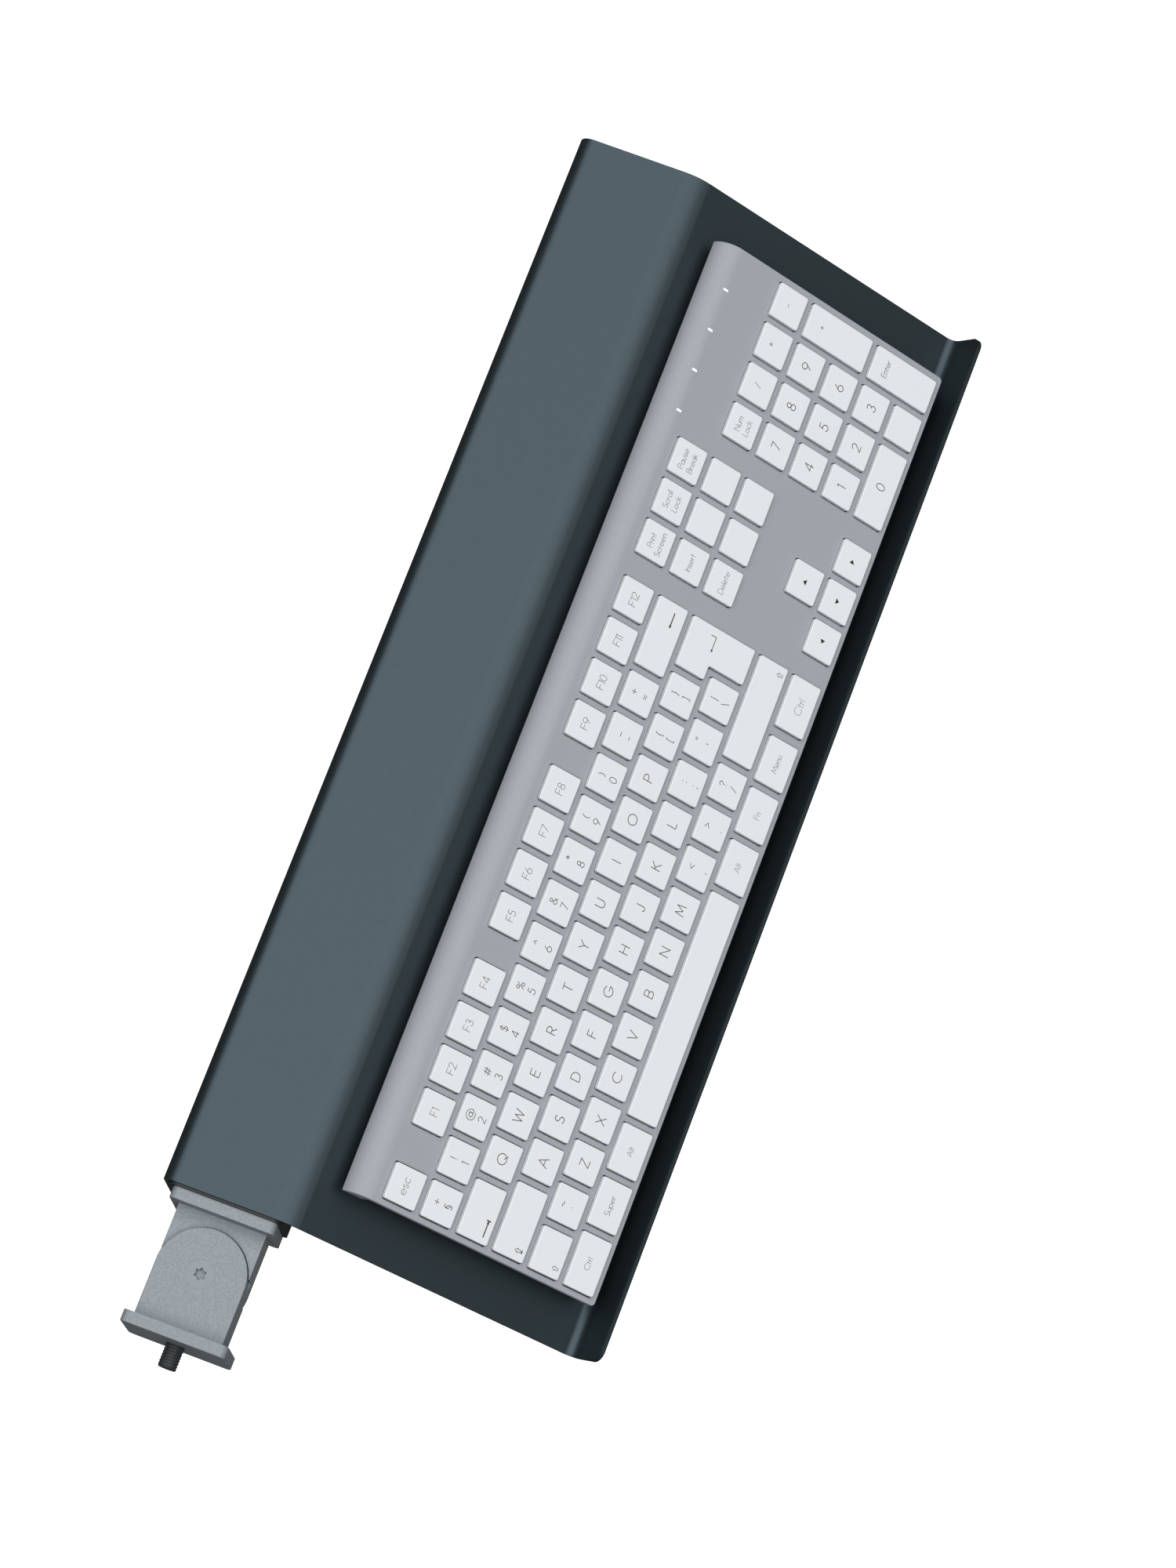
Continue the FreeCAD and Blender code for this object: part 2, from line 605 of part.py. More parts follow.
def key_groups():
    """Every key, grouped into the pieces that are pressed together in this model."""
    after_tab = MAIN_LEFT + TAB_WIDE + GAP
    after_caps = MAIN_LEFT + CAPS_WIDE + GAP
    after_shift = MAIN_LEFT + LEFT_SHIFT_WIDE + GAP
    after_numbers = MAIN_LEFT + 13 * PITCH
    right_shift_left = after_shift + 11 * PITCH
    space_left = MAIN_LEFT + TAB_WIDE + 2 * MODIFIER_WIDE + 3 * GAP
    after_space = space_left + SPACE_WIDE + GAP
    plus_left = NUMPAD_LEFT + 3 * PITCH
    groups = {
        "esc_key": key_row(MAIN_LEFT, 0, [UNIT]),
        "print_keys": key_row(NAVIGATION_LEFT, 0, [UNIT] * 3),
        "number_row_keys": key_row(MAIN_LEFT, 1, [UNIT] * 13),
        "backspace_key": [(after_numbers, MAIN_RIGHT - after_numbers, 1, 1)],
        "tab_key": key_row(MAIN_LEFT, 2, [TAB_WIDE]),
        "upper_letter_keys": key_row(after_tab, 2, [UNIT] * 12),
        "caps_lock_key": key_row(MAIN_LEFT, 3, [CAPS_WIDE]),
        "home_letter_keys": key_row(after_caps, 3, [UNIT] * 12),
        "left_shift_key": key_row(MAIN_LEFT, 4, [LEFT_SHIFT_WIDE]),
        "lower_letter_keys": key_row(after_shift, 4, [UNIT] * 11),
        "right_shift_key": [(right_shift_left, MAIN_RIGHT - right_shift_left, 4, 1)],
        "left_modifier_keys": key_row(MAIN_LEFT, 5, [TAB_WIDE, MODIFIER_WIDE, MODIFIER_WIDE]),
        "space_bar": [(space_left, SPACE_WIDE, 5, 1)],
        "right_modifier_keys": key_row(after_space, 5, [MODIFIER_WIDE] * 3)
        + [(MAIN_RIGHT - TAB_WIDE, TAB_WIDE, 5, 1)],
        "navigation_keys": key_row(NAVIGATION_LEFT, 1, [UNIT] * 3)
        + key_row(NAVIGATION_LEFT, 2, [UNIT] * 3),
        "arrow_keys": key_row(NAVIGATION_LEFT + PITCH, 4, [UNIT])
        + key_row(NAVIGATION_LEFT, 5, [UNIT] * 3),
        "numpad_top_keys": key_row(NUMPAD_LEFT, 1, [UNIT] * 4),
        "numpad_digit_keys": [key for row in (2, 3, 4) for key in key_row(NUMPAD_LEFT, row, [UNIT] * 3)],
        "numpad_plus_key": [(plus_left, UNIT, 2, 2)],
        "numpad_enter_key": [(plus_left, UNIT, 4, 2)],
        "numpad_zero_key": key_row(NUMPAD_LEFT, 5, [DOUBLE]),
        "numpad_point_key": key_row(NUMPAD_LEFT + 2 * PITCH, 5, [UNIT]),
        "f1_to_f4_keys": key_row(size("f1_left"), 0, [UNIT] * 4),
        "f5_to_f8_keys": key_row(size("f5_left"), 0, [UNIT] * 4),
        "f9_to_f12_keys": key_row(size("f9_left"), 0, [UNIT] * 4),
    }
    return groups


def enter_corners(grow):
    """Outline of the tall Enter key, which is narrower in its lower row, grown by grow."""
    left = MAIN_LEFT + TAB_WIDE + GAP + 12 * PITCH
    step = MAIN_LEFT + CAPS_WIDE + GAP + 12 * PITCH
    top = -2 * PITCH + UNIT / 2
    notch = -2 * PITCH - UNIT / 2
    bottom = -3 * PITCH - UNIT / 2
    return [(left - grow, top + grow), (left - grow, notch - grow), (step - grow, notch - grow),
            (step - grow, bottom - grow), (MAIN_RIGHT + grow, bottom - grow),
            (MAIN_RIGHT + grow, top + grow)]


def key_corners(key, grow):
    """The four corners of a key's outline, grown by grow on every side."""
    left, width, row, rows = key
    top = -row * PITCH + UNIT / 2 + grow
    bottom = -(row + rows - 1) * PITCH - UNIT / 2 - grow
    return [(left - grow, top), (left - grow, bottom), (left + width + grow, bottom),
            (left + width + grow, top)]


def prism(corners, low, high, corner_round):
    """A straight-sided block on the given corners, with its upright edges rounded."""
    points = [V(x, y, low) for x, y in corners]
    block = Part.Face(Part.makePolygon(points + points[:1])).extrude(V(0, 0, high - low))
    uprights = [edge for edge in block.Edges if runs_along(edge, V(0, 0, 1))]
    return block.makeFillet(corner_round, uprights)


def keycap(corners):
    cap = prism(corners, -size("key_tall"), 0.0, size("key_round"))
    rim = [edge for edge in cap.Edges if edge.BoundBox.ZMin > -1e-6]
    return cap.makeFillet(size("key_edge"), rim)


def keyboard_place():
    """Where the keyboard's own frame stands on the tray."""
    base = V(size("keyboard_x"), size("keyboard_y"), size("keyboard_z"))
    return FreeCAD.Placement(base, FreeCAD.Rotation(V(1, 0, 0), size("key_tilt")))


DECK = -size("deck_drop")
DECK_UNDER = DECK - size("deck_thick")
DECK_LEFT = size("deck_left")
DECK_RIGHT = DECK_LEFT + size("deck_long")
DECK_FRONT = size("deck_front")
CURVE = size("rear_curve")
CURVE_Y = size("rear_centre")
CURVE_Z = DECK - CURVE
SKIRT = -size("deck_skirt")
SHELL_LOW = -size("shell_bottom")
SHELL_WALL = size("shell_wall")


def cover_section(inset, drop):
    """Section of the cover as (y, z), inset by its wall: flat deck and round rear."""
    radius = CURVE - inset
    quarter = radius * math.sqrt(0.5)
    low = SKIRT - drop
    foot = CURVE_Z - drop
    points = [V(DECK_FRONT + inset, low, 0), V(DECK_FRONT + inset, DECK - inset, 0),
              V(CURVE_Y, DECK - inset, 0), V(CURVE_Y + radius, CURVE_Z, 0),
              V(CURVE_Y + radius, foot, 0), V(CURVE_Y, foot, 0), V(CURVE_Y, low, 0)]
    arc = Part.Arc(points[2], V(CURVE_Y + quarter, CURVE_Z + quarter, 0), points[3])
    pieces = [Part.LineSegment(points[0], points[1]), Part.LineSegment(points[1], points[2]), arc]
    if drop:
        pieces.append(Part.LineSegment(points[3], points[4]))
    pieces += [Part.LineSegment(points[4], points[5]), Part.LineSegment(points[5], points[6]),
               Part.LineSegment(points[6], points[0])]
    return Part.Wire([piece.toShape() for piece in pieces])


def is_cover_rim(edge):
    """True for the outer edges of the cover's top and of its curved back."""
    box = edge.BoundBox
    if box.ZMin > DECK - 1e-3:
        return not runs_along(edge, V(1, 0, 0)) or box.YMax < DECK_FRONT + 1e-3
    return box.XLength < 1e-3 and isinstance(edge.Curve, Part.Circle) and box.YMax > CURVE_Y + 1


def is_aperture_corner(edge):
    """True for the upright edges through the cover's flat, at the corners of its openings."""
    return (runs_along(edge, V(0, 0, 1)) and abs(edge.Length - size("deck_thick")) < 1e-3
            and edge.BoundBox.ZMax > DECK - 1e-3)


def make_top_cover(groups):
    """Thin top cover with one aperture for each key and four slots for the status lights."""
    body = new_body("keyboard_cover")
    outside = new_sketch(body, "YZ_Plane", (0, 0, DECK_LEFT))
    draw_outline(outside, cover_section(0.0, 0.0))
    pad(body, outside, "dims.deck_long")
    front_uprights = (lambda edge: runs_along(edge, V(0, 0, 1))
                      and abs(edge.CenterOfMass.y - DECK_FRONT) < 0.01)
    round_edges(body, front_uprights, "dims.deck_corner")
    round_edges(body, is_cover_rim, "dims.deck_edge")

    inside = new_sketch(body, "YZ_Plane", (0, 0, DECK_LEFT + size("deck_thick")))
    draw_outline(inside, cover_section(size("deck_thick"), 1.0))
    pocket(body, inside, "dims.deck_long - 2 * dims.deck_thick", reverse=True)
    inner_uprights = (lambda edge: runs_along(edge, V(0, 0, 1))
                      and abs(edge.CenterOfMass.y - DECK_FRONT - size("deck_thick")) < 0.01)
    round_edges(body, inner_uprights, "dims.deck_corner - dims.deck_thick")

    grow = size("aperture_gap")
    openings = new_sketch(body, "XY_Plane", (0, 0, DECK + 1))
    for keys in groups.values():
        for key in keys:
            draw_polygon(openings, key_corners(key, grow))
    draw_polygon(openings, enter_corners(grow))
    pocket(body, openings, "dims.deck_thick + 2")
    round_edges(body, is_aperture_corner, "dims.key_round + dims.aperture_gap")

    slots = new_sketch(body, "XY_Plane", (0, 0, DECK + 1))
    for x, y in light_places():
        draw_polygon(slots, light_corners(x, y, size("running_gap")))
    pocket(body, slots, "dims.deck_thick + 2")
    body.Placement = keyboard_place()
    return body


def light_places():
    """Centres of the four status lights behind the number pad."""
    return [(size("light_x") + i * PITCH, size("light_y")) for i in range(4)]


def light_corners(x, y, grow):
    half_wide = size("light_wide") / 2 + grow
    half_long = size("light_long") / 2 + grow
    return [(x + sx * half_wide, y + sy * half_long)
            for sx, sy in ((-1, 1), (-1, -1), (1, -1), (1, 1))]


def keyboard_feature(label, shape):
    return make_feature(label, shape, keyboard_place())


def slab(left, right, front, back, low, high):
    return Part.makeBox(right - left, back - front, high - low, V(left, front, low))


SCREW_PLACES = [(x, y) for x in (22.0, 150.0, 283.0, 411.0) for y in (-98.0, 7.0)]
PLATE_LOW = size("plate_low")
DOMES_HIGH = size("domes_high")


def make_bottom_shell():
    """Dark bottom shell, set in from the cover's edge, with screw bosses."""
    inset = size("shell_inset")
    left = DECK_LEFT + inset
    right = DECK_RIGHT - inset
    front = DECK_FRONT + inset
    back = CURVE_Y + size("shell_step")
    foot_back = CURVE_Y + CURVE - size("shell_foot_inset")
    outer = slab(left, right, front, CURVE_Y - 0.4, SHELL_LOW, SKIRT)
    wall_gap = size("deck_thick") + 2 * size("running_gap")
    rear_left = DECK_LEFT + wall_gap
    rear_right = DECK_RIGHT - wall_gap
    outer = outer.fuse(slab(rear_left, rear_right, CURVE_Y - 1, back, SHELL_LOW, SKIRT - 1.8))
    outer = outer.fuse(slab(left, right, back - 1, foot_back, SHELL_LOW, CURVE_Z - 0.2))
    outer = outer.removeSplitter()
    foot_edges = [edge for edge in outer.Edges if edge.BoundBox.ZMax < SHELL_LOW + 0.01]
    outer = outer.makeChamfer(size("shell_chamfer"), foot_edges)
    floor = SHELL_LOW + SHELL_WALL
    cavity = slab(left + SHELL_WALL, right - SHELL_WALL, front + SHELL_WALL, back - SHELL_WALL,
                  floor, 0)
    shell = outer.cut(cavity)
    for x, y in SCREW_PLACES:
        foot = V(x, y, SHELL_LOW)
        shell = shell.fuse(Part.makeCylinder(size("boss"), PLATE_LOW - floor, V(x, y, floor)))
        shell = shell.cut(Part.makeCylinder(size("boss_hole"), PLATE_LOW - SHELL_LOW, foot))
        shell = shell.cut(Part.makeCylinder(size("boss_sink"), size("boss_sink_deep"), foot))
    keyboard_feature("keyboard_shell", shell.removeSplitter())


def make_keyboard_layers(groups):
    """Steel backing plate, membrane and silicone dome sheet under the keys."""
    levels = [PLATE_LOW, size("membrane_low"), size("domes_low"), DOMES_HIGH]
    edges = [size("layer_" + side) for side in ("left", "right", "front", "back")]
    names = ("backing_plate", "membrane", "dome_sheet")
    shapes = {name: slab(*edges, low, high) for name, low, high in zip(names, levels, levels[1:])}
    thick = levels[1] - levels[0]
    holes = [Part.makeCylinder(size("boss_hole"), 3 * thick, V(x, y, PLATE_LOW - thick))
             for x, y in SCREW_PLACES]
    shapes["backing_plate"] = shapes["backing_plate"].cut(holes)
    centres = []
    for keys in groups.values():
        for left, width, row, rows in keys:
            centres.append((left + width / 2, -(row + (rows - 1) / 2) * PITCH))
    enter = enter_corners(0)
    centres.append(((enter[2][0] + MAIN_RIGHT) / 2, -2.5 * PITCH))
    domes = [Part.makeCone(size("dome_foot_radius"), size("dome_tip_radius"),
                           size("dome_tip") - DOMES_HIGH, V(x, y, DOMES_HIGH)) for x, y in centres]
    shapes["dome_sheet"] = shapes["dome_sheet"].fuse(domes)
    for name, shape in shapes.items():
        keyboard_feature(name, shape)


def make_keyboard_small_parts():
    """Controller board, its bottom screws, the rubber feet and the status light pipes."""
    board = slab(*[size("board_" + side) for side in ("left", "right", "front", "back", "low", "high")])
    chip = slab(*[size("chip_" + side) for side in ("left", "right", "front", "back")],
                size("board_high"), size("chip_high"))
    keyboard_feature("controller_board", board.fuse(chip).removeSplitter())

    screws = []
    head_top = SHELL_LOW + size("boss_sink_deep") - size("running_gap")
    for x, y in SCREW_PLACES:
        head = Part.makeCylinder(size("case_screw_head"), 1.0, V(x, y, head_top - 1.0))
        shank = Part.makeCylinder(size("case_screw"), size("case_screw_long"), V(x, y, head_top - 0.15))
        screws.append(head.fuse(shank))
    keyboard_feature("shell_screws", Part.makeCompound(screws))

    lights = [prism(light_corners(x, y, 0.0), DOMES_HIGH, DECK, size("light_round"))
              for x, y in light_places()]
    keyboard_feature("status_lights", Part.makeCompound(lights))

    feet = []
    half_long = size("foot_long") / 2
    half_wide = size("foot_wide") / 2
    from_end = size("foot_from_end")
    for y in (size("front_feet"), size("rear_feet")):
        bottom = slope_height(y - half_wide) + 0.01
        for x in (DECK_LEFT + from_end, (DECK_LEFT + DECK_RIGHT) / 2, DECK_RIGHT - from_end):
            pad_corners = [(x + sx * half_long, y + sy * half_wide)
                           for sx, sy in ((-1, 1), (-1, -1), (1, -1), (1, 1))]
            feet.append(prism(pad_corners, bottom, SHELL_LOW, size("foot_round")))
    keyboard_feature("rubber_feet", Part.makeCompound(feet))


def slope_height(y):
    """Height of the tray's slope in the keyboard's frame, under the keyboard's own y."""
    place = keyboard_place().inverse()
    bend = V(TRAY_START, size("bend_line"), TOP)
    foot = V(TRAY_START, *along((size("bend_line"), TOP), DOWN_SLOPE, size("slope_long")))
    start = place.multVec(bend)
    end = place.multVec(foot)
    return start.z + (end.z - start.z) * (y - start.y) / (end.y - start.y)


def make_keycaps(groups):
    for name, keys in groups.items():
        caps = [keycap(key_corners(key, 0.0)) for key in keys]
        keyboard_feature(name, caps[0] if len(caps) == 1 else Part.makeCompound(caps))
    keyboard_feature("enter_key", keycap(enter_corners(0.0)))


def make_keyboard():
    groups = key_groups()
    make_top_cover(groups)
    make_bottom_shell()
    make_keyboard_layers(groups)
    make_keyboard_small_parts()
    make_keycaps(groups)


# ---------------------------------------------------------------- build, check, write
def check_document():
    doc.recompute()
    for item in doc.Objects:
        if "Invalid" in item.State or "Error" in item.State:
            raise RuntimeError("%s failed: %s" % (item.Label, item.State))
    for item in sub_parts:
        if item.Shape.isNull() or not item.Shape.isValid():
            raise RuntimeError("%s has no valid shape" % item.Label)


def write_parts():
    os.makedirs("parts", exist_ok=True)
    for item in sub_parts:
        item.Shape.exportStep("parts/%s.step" % item.Label)
        print("%-22s %2d solids %10.1f mm3" % (item.Label, len(item.Shape.Solids), item.Shape.Volume))


make_swivel()
make_tray_sheet()
make_carrier()
make_flange_fixings()
make_keyboard()
check_document()
write_parts()
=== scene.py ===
"""Looks of the swivel keyboard tray: camera, light, materials and fine detail around the CAD frame."""
import json
import math

import bmesh
import bpy
from mathutils import Matrix, Vector


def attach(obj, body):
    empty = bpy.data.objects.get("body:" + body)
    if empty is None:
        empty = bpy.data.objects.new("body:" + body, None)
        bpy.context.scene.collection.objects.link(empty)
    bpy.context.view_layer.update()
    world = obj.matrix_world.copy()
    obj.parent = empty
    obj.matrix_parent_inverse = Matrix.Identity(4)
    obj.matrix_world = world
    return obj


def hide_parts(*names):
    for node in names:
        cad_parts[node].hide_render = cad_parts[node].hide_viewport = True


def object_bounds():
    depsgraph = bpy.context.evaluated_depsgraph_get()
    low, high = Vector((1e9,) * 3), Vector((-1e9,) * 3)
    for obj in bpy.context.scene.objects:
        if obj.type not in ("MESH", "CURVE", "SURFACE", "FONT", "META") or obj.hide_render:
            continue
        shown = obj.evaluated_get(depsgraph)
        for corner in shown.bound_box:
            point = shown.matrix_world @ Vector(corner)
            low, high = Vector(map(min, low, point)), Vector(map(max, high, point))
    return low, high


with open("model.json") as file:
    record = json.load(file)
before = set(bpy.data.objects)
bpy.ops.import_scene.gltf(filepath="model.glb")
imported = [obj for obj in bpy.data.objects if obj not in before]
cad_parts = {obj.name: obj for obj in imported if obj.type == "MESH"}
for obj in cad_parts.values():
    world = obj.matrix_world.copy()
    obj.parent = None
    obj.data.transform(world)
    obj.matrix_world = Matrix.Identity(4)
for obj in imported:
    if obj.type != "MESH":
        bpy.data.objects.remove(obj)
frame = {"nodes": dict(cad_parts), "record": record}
cad_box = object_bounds()
MM = 0.001

# ---------------------------------------------------------------- camera, light and floor
CAMERA_PLACE = Vector((-0.1614, -0.2262, 1.8260))
CAMERA_TARGET = Vector((0.2768, -0.0734, 0.0))
CAMERA_HEADING = math.radians(20.57)     # which way the top of the picture points, seen from above
LENS = 104.16
FLOOR_DROP = 3.0
FLOOR_HALF = 14.0
FLOOR_WHITE = 0.95
FLOOR_ROUGHNESS = 0.95
BACKDROP_RADIUS = 24.0
BACKDROP_LEVEL = 0.92
BACKDROP_SEGMENTS = 48
FILL_DROP = 1.5
FILL_WIDE = 2.4
FILL_POWER = 14.0
SOFTBOX_LEAN = Vector((0.0, -0.10, 1.0)).normalized()
SOFTBOX_LEVEL = 2.6
AMBIENT_LEVEL = 0.07
SOFTBOX_INNER = math.cos(math.radians(30.0))
SOFTBOX_OUTER = math.cos(math.radians(56.0))


def add_object(name, data):
    """A new object in the scene, holding the given mesh, camera or light."""
    item = bpy.data.objects.new(name, data)
    bpy.context.scene.collection.objects.link(item)
    return item


def look_matrix(place, target, up_hint):
    """A camera matrix: local -Z towards the target, local +Y near up_hint."""
    back = (place - target).normalized()
    right = up_hint.cross(back).normalized()
    turn = Matrix((right, back.cross(right), back)).transposed().to_4x4()
    return Matrix.Translation(place) @ turn


def make_camera():
    data = bpy.data.cameras.new("camera")
    data.lens = LENS
    camera = add_object("camera", data)
    heading = Vector((math.cos(CAMERA_HEADING), math.sin(CAMERA_HEADING), 0.0))
    camera.matrix_world = look_matrix(CAMERA_PLACE, CAMERA_TARGET, heading)
    bpy.context.scene.camera = camera


def make_light():
    """A wide softbox overhead, fading into a dim room, as the world's light."""
    world = bpy.data.worlds.new("studio")
    world.use_nodes = True
    tree = world.node_tree
    background = tree.nodes["Background"]
    place = tree.nodes.new("ShaderNodeTexCoord")
    along = tree.nodes.new("ShaderNodeVectorMath")
    along.operation = "DOT_PRODUCT"
    along.inputs[1].default_value = SOFTBOX_LEAN
    fade = tree.nodes.new("ShaderNodeMapRange")
    fade.interpolation_type = "SMOOTHSTEP"
    fade.inputs["From Min"].default_value = SOFTBOX_OUTER
    fade.inputs["From Max"].default_value = SOFTBOX_INNER
    fade.inputs["To Min"].default_value = AMBIENT_LEVEL
    fade.inputs["To Max"].default_value = SOFTBOX_LEVEL
    tree.links.new(place.outputs["Generated"], along.inputs[0])
    tree.links.new(along.outputs["Value"], fade.inputs["Value"])
    tree.links.new(fade.outputs["Result"], background.inputs["Strength"])
    background.inputs["Color"].default_value = (1.0, 1.0, 1.0, 1.0)
    bpy.context.scene.world = world
    bpy.context.scene.view_settings.view_transform = "Standard"


def make_fill():
    """A weak soft light under the tray, so that its underside isn't lost in the dark."""
    data = bpy.data.lights.new("fill", "AREA")
    data.size = FILL_WIDE
    data.energy = FILL_POWER
    fill = add_object("fill", data)
    centre = (Vector(cad_box[0]) + Vector(cad_box[1])) / 2
    below = Vector((centre.x, centre.y, cad_box[0][2] - FILL_DROP))
    fill.matrix_world = Matrix.Translation(below) @ Matrix.Rotation(math.pi, 4, "X")
    fill.visible_camera = False
    fill.visible_glossy = False


def make_floor():
    """A plain white floor well below the tray; it doesn't throw light back up at the dark metal."""
    low = cad_box[0][2] - FLOOR_DROP
    mesh = bpy.data.meshes.new("floor")
    corners = [(sx * FLOOR_HALF, sy * FLOOR_HALF, low) for sx, sy in ((-1, -1), (1, -1), (1, 1), (-1, 1))]
    mesh.from_pydata(corners, [], [(0, 1, 2, 3)])
    floor = add_object("floor", mesh)
    floor.visible_diffuse = False
    floor.visible_glossy = False
    mesh.materials.append(new_material("floor_white", (FLOOR_WHITE,) * 3, FLOOR_ROUGHNESS, specular=0.0))


def make_backdrop():
    """A pale ball around everything, which only the camera sees: it neither lights nor shades."""
    ball = bmesh.new()
    bmesh.ops.create_uvsphere(ball, u_segments=BACKDROP_SEGMENTS, v_segments=BACKDROP_SEGMENTS // 2,
                              radius=BACKDROP_RADIUS)
    mesh = bpy.data.meshes.new("backdrop")
    ball.to_mesh(mesh)
    ball.free()
    backdrop = add_object("backdrop", mesh)
    for kind in ("diffuse", "glossy", "transmission", "shadow", "volume_scatter"):
        setattr(backdrop, "visible_" + kind, False)
    material = new_material("backdrop_pale", (0.0, 0.0, 0.0), 0.5, specular=0.0)
    shader = material.node_tree.nodes["Principled BSDF"]
    shader.inputs["Emission Color"].default_value = (1.0, 1.0, 1.0, 1.0)
    shader.inputs["Emission Strength"].default_value = BACKDROP_LEVEL
    mesh.materials.append(material)


# ---------------------------------------------------------------- materials
NOISE_LOW = 0.3      # the part of the noise's range that is spread over a socket's two values
NOISE_HIGH = 0.7


def new_material(name, colour, roughness, metallic=0.0, specular=0.5):
    material = bpy.data.materials.new(name)
    material.use_nodes = True
    shader = material.node_tree.nodes["Principled BSDF"]
    shader.inputs["Base Color"].default_value = (*colour, 1.0)
    shader.inputs["Roughness"].default_value = roughness
    shader.inputs["Metallic"].default_value = metallic
    shader.inputs["Specular IOR Level"].default_value = specular
    return material


def noise(tree, grain, detail):
    """Noise whose grains are about `grain` millimetres wide, fixed to the object."""
    place = tree.nodes.new("ShaderNodeTexCoord")
    texture = tree.nodes.new("ShaderNodeTexNoise")
    texture.inputs["Scale"].default_value = 1.0 / (grain * MM)
    texture.inputs["Detail"].default_value = detail
    tree.links.new(place.outputs["Object"], texture.inputs["Vector"])
    return texture.outputs["Fac"]


def add_bump(material, grain, height, detail=2.0):
    """Bump of the given grain and height, in millimetres."""
    tree = material.node_tree
    bump = tree.nodes.new("ShaderNodeBump")
    bump.inputs["Strength"].default_value = 1.0
    bump.inputs["Distance"].default_value = height * MM
    tree.links.new(noise(tree, grain, detail), bump.inputs["Height"])
    tree.links.new(bump.outputs["Normal"], tree.nodes["Principled BSDF"].inputs["Normal"])


def vary(material, socket, grain, low, high, detail=3.0):
    """Let a shader's socket wander between two values, numbers or colours, with noise."""
    tree = material.node_tree
    target = tree.nodes["Principled BSDF"].inputs[socket]
    source = noise(tree, grain, detail)
    if isinstance(low, tuple):
        mix = tree.nodes.new("ShaderNodeValToRGB")
        mix.color_ramp.elements[0].position = NOISE_LOW
        mix.color_ramp.elements[1].position = NOISE_HIGH
        mix.color_ramp.elements[0].color = (*low, 1.0)
        mix.color_ramp.elements[1].color = (*high, 1.0)
        tree.links.new(source, mix.inputs["Fac"])
        tree.links.new(mix.outputs["Color"], target)
        return
    spread = tree.nodes.new("ShaderNodeMapRange")
    spread.inputs["From Min"].default_value = NOISE_LOW
    spread.inputs["From Max"].default_value = NOISE_HIGH
    spread.inputs["To Min"].default_value = low
    spread.inputs["To Max"].default_value = high
    tree.links.new(source, spread.inputs["Value"])
    tree.links.new(spread.outputs["Result"], target)


def shade(colour, factor):
    return tuple(channel * factor for channel in colour)


TRAY_COLOUR = (0.0088, 0.0124, 0.0138)
TRAY_SHEEN = (0.64, 0.86, 1.0, 1.0)
CAST_COLOUR = (0.205, 0.232, 0.252)
COVER_COLOUR = (0.298, 0.317, 0.345)
CAP_COLOUR = (0.680, 0.700, 0.718)
BLACK = (0.012, 0.013, 0.015)
BLACK_STEEL = (0.03, 0.034, 0.038)
SCREW_STEEL = (0.21, 0.235, 0.255)
BLACK_FINISHES = {"carrier_paint": 0.5, "black_plastic": 0.55, "shell_plastic": 0.5, "foot_rubber": 0.8}
INNER_FINISHES = {      # colour and roughness
    "washer_plastic": ((0.7, 0.7, 0.68), 0.4),
    "membrane_film": ((0.62, 0.65, 0.6), 0.3),
    "dome_silicone": ((0.55, 0.57, 0.6), 0.6),
    "circuit_board": ((0.02, 0.16, 0.07), 0.35),
    "light_pipe": ((0.9, 0.92, 0.95), 0.3),
}
INKS = {"ink": 0.10, "dark_ink": 0.012, "pale_ink": 0.22}


def make_materials():
    """One finished material for every material slot of the record."""
    made = {}
    tray = made["tray_paint"] = new_material("tray_paint", TRAY_COLOUR, 0.42, specular=0.76)
    tray.node_tree.nodes["Principled BSDF"].inputs["Specular Tint"].default_value = TRAY_SHEEN
    vary(tray, "Base Color", 1.1, shade(TRAY_COLOUR, 0.93), shade(TRAY_COLOUR, 1.07))
    vary(tray, "Roughness", 1.6, 0.40, 0.44)
    add_bump(tray, 0.55, 0.012)

    cast = made["bracket_cast"] = new_material("bracket_cast", CAST_COLOUR, 0.5)
    vary(cast, "Base Color", 0.9, shade(CAST_COLOUR, 0.86), shade(CAST_COLOUR, 1.14), detail=4.0)
    add_bump(cast, 0.6, 0.045, detail=3.0)

    cover = made["cover_aluminium"] = new_material("cover_aluminium", COVER_COLOUR, 0.6, specular=0.2)
    vary(cover, "Base Color", 0.5, shade(COVER_COLOUR, 0.97), shade(COVER_COLOUR, 1.03))
    add_bump(cover, 0.25, 0.004)

    caps = made["keycap_plastic"] = new_material("keycap_plastic", CAP_COLOUR, 0.45)
    vary(caps, "Roughness", 6.0, 0.42, 0.5)
    add_bump(caps, 0.3, 0.003)

    for name, roughness in BLACK_FINISHES.items():
        made[name] = new_material(name, BLACK, roughness)
        add_bump(made[name], 0.4, 0.012)

    steel = made["black_steel"] = new_material("black_steel", BLACK_STEEL, 0.38)
    vary(steel, "Roughness", 0.6, 0.33, 0.48)
    bright = made["bright_steel"] = new_material("bright_steel", SCREW_STEEL, 0.5, metallic=0.1)
    vary(bright, "Roughness", 0.4, 0.44, 0.56)
    for name, (colour, roughness) in INNER_FINISHES.items():
        made[name] = new_material(name, colour, roughness)
        add_bump(made[name], 0.5, 0.004)
    for name, level in INKS.items():
        made[name] = new_material(name, (level, level * 1.05, level * 1.1), 0.6)
        add_bump(made[name], 0.3, 0.003)
    return made


def dress_nodes(materials):
    """Each CAD node wears the material of its slot in the record."""
    for entry in frame["record"]["subparts"]:
        mesh = frame["nodes"][entry["node"]].data
        mesh.materials.clear()
        mesh.materials.append(materials[entry["material_slot"]])


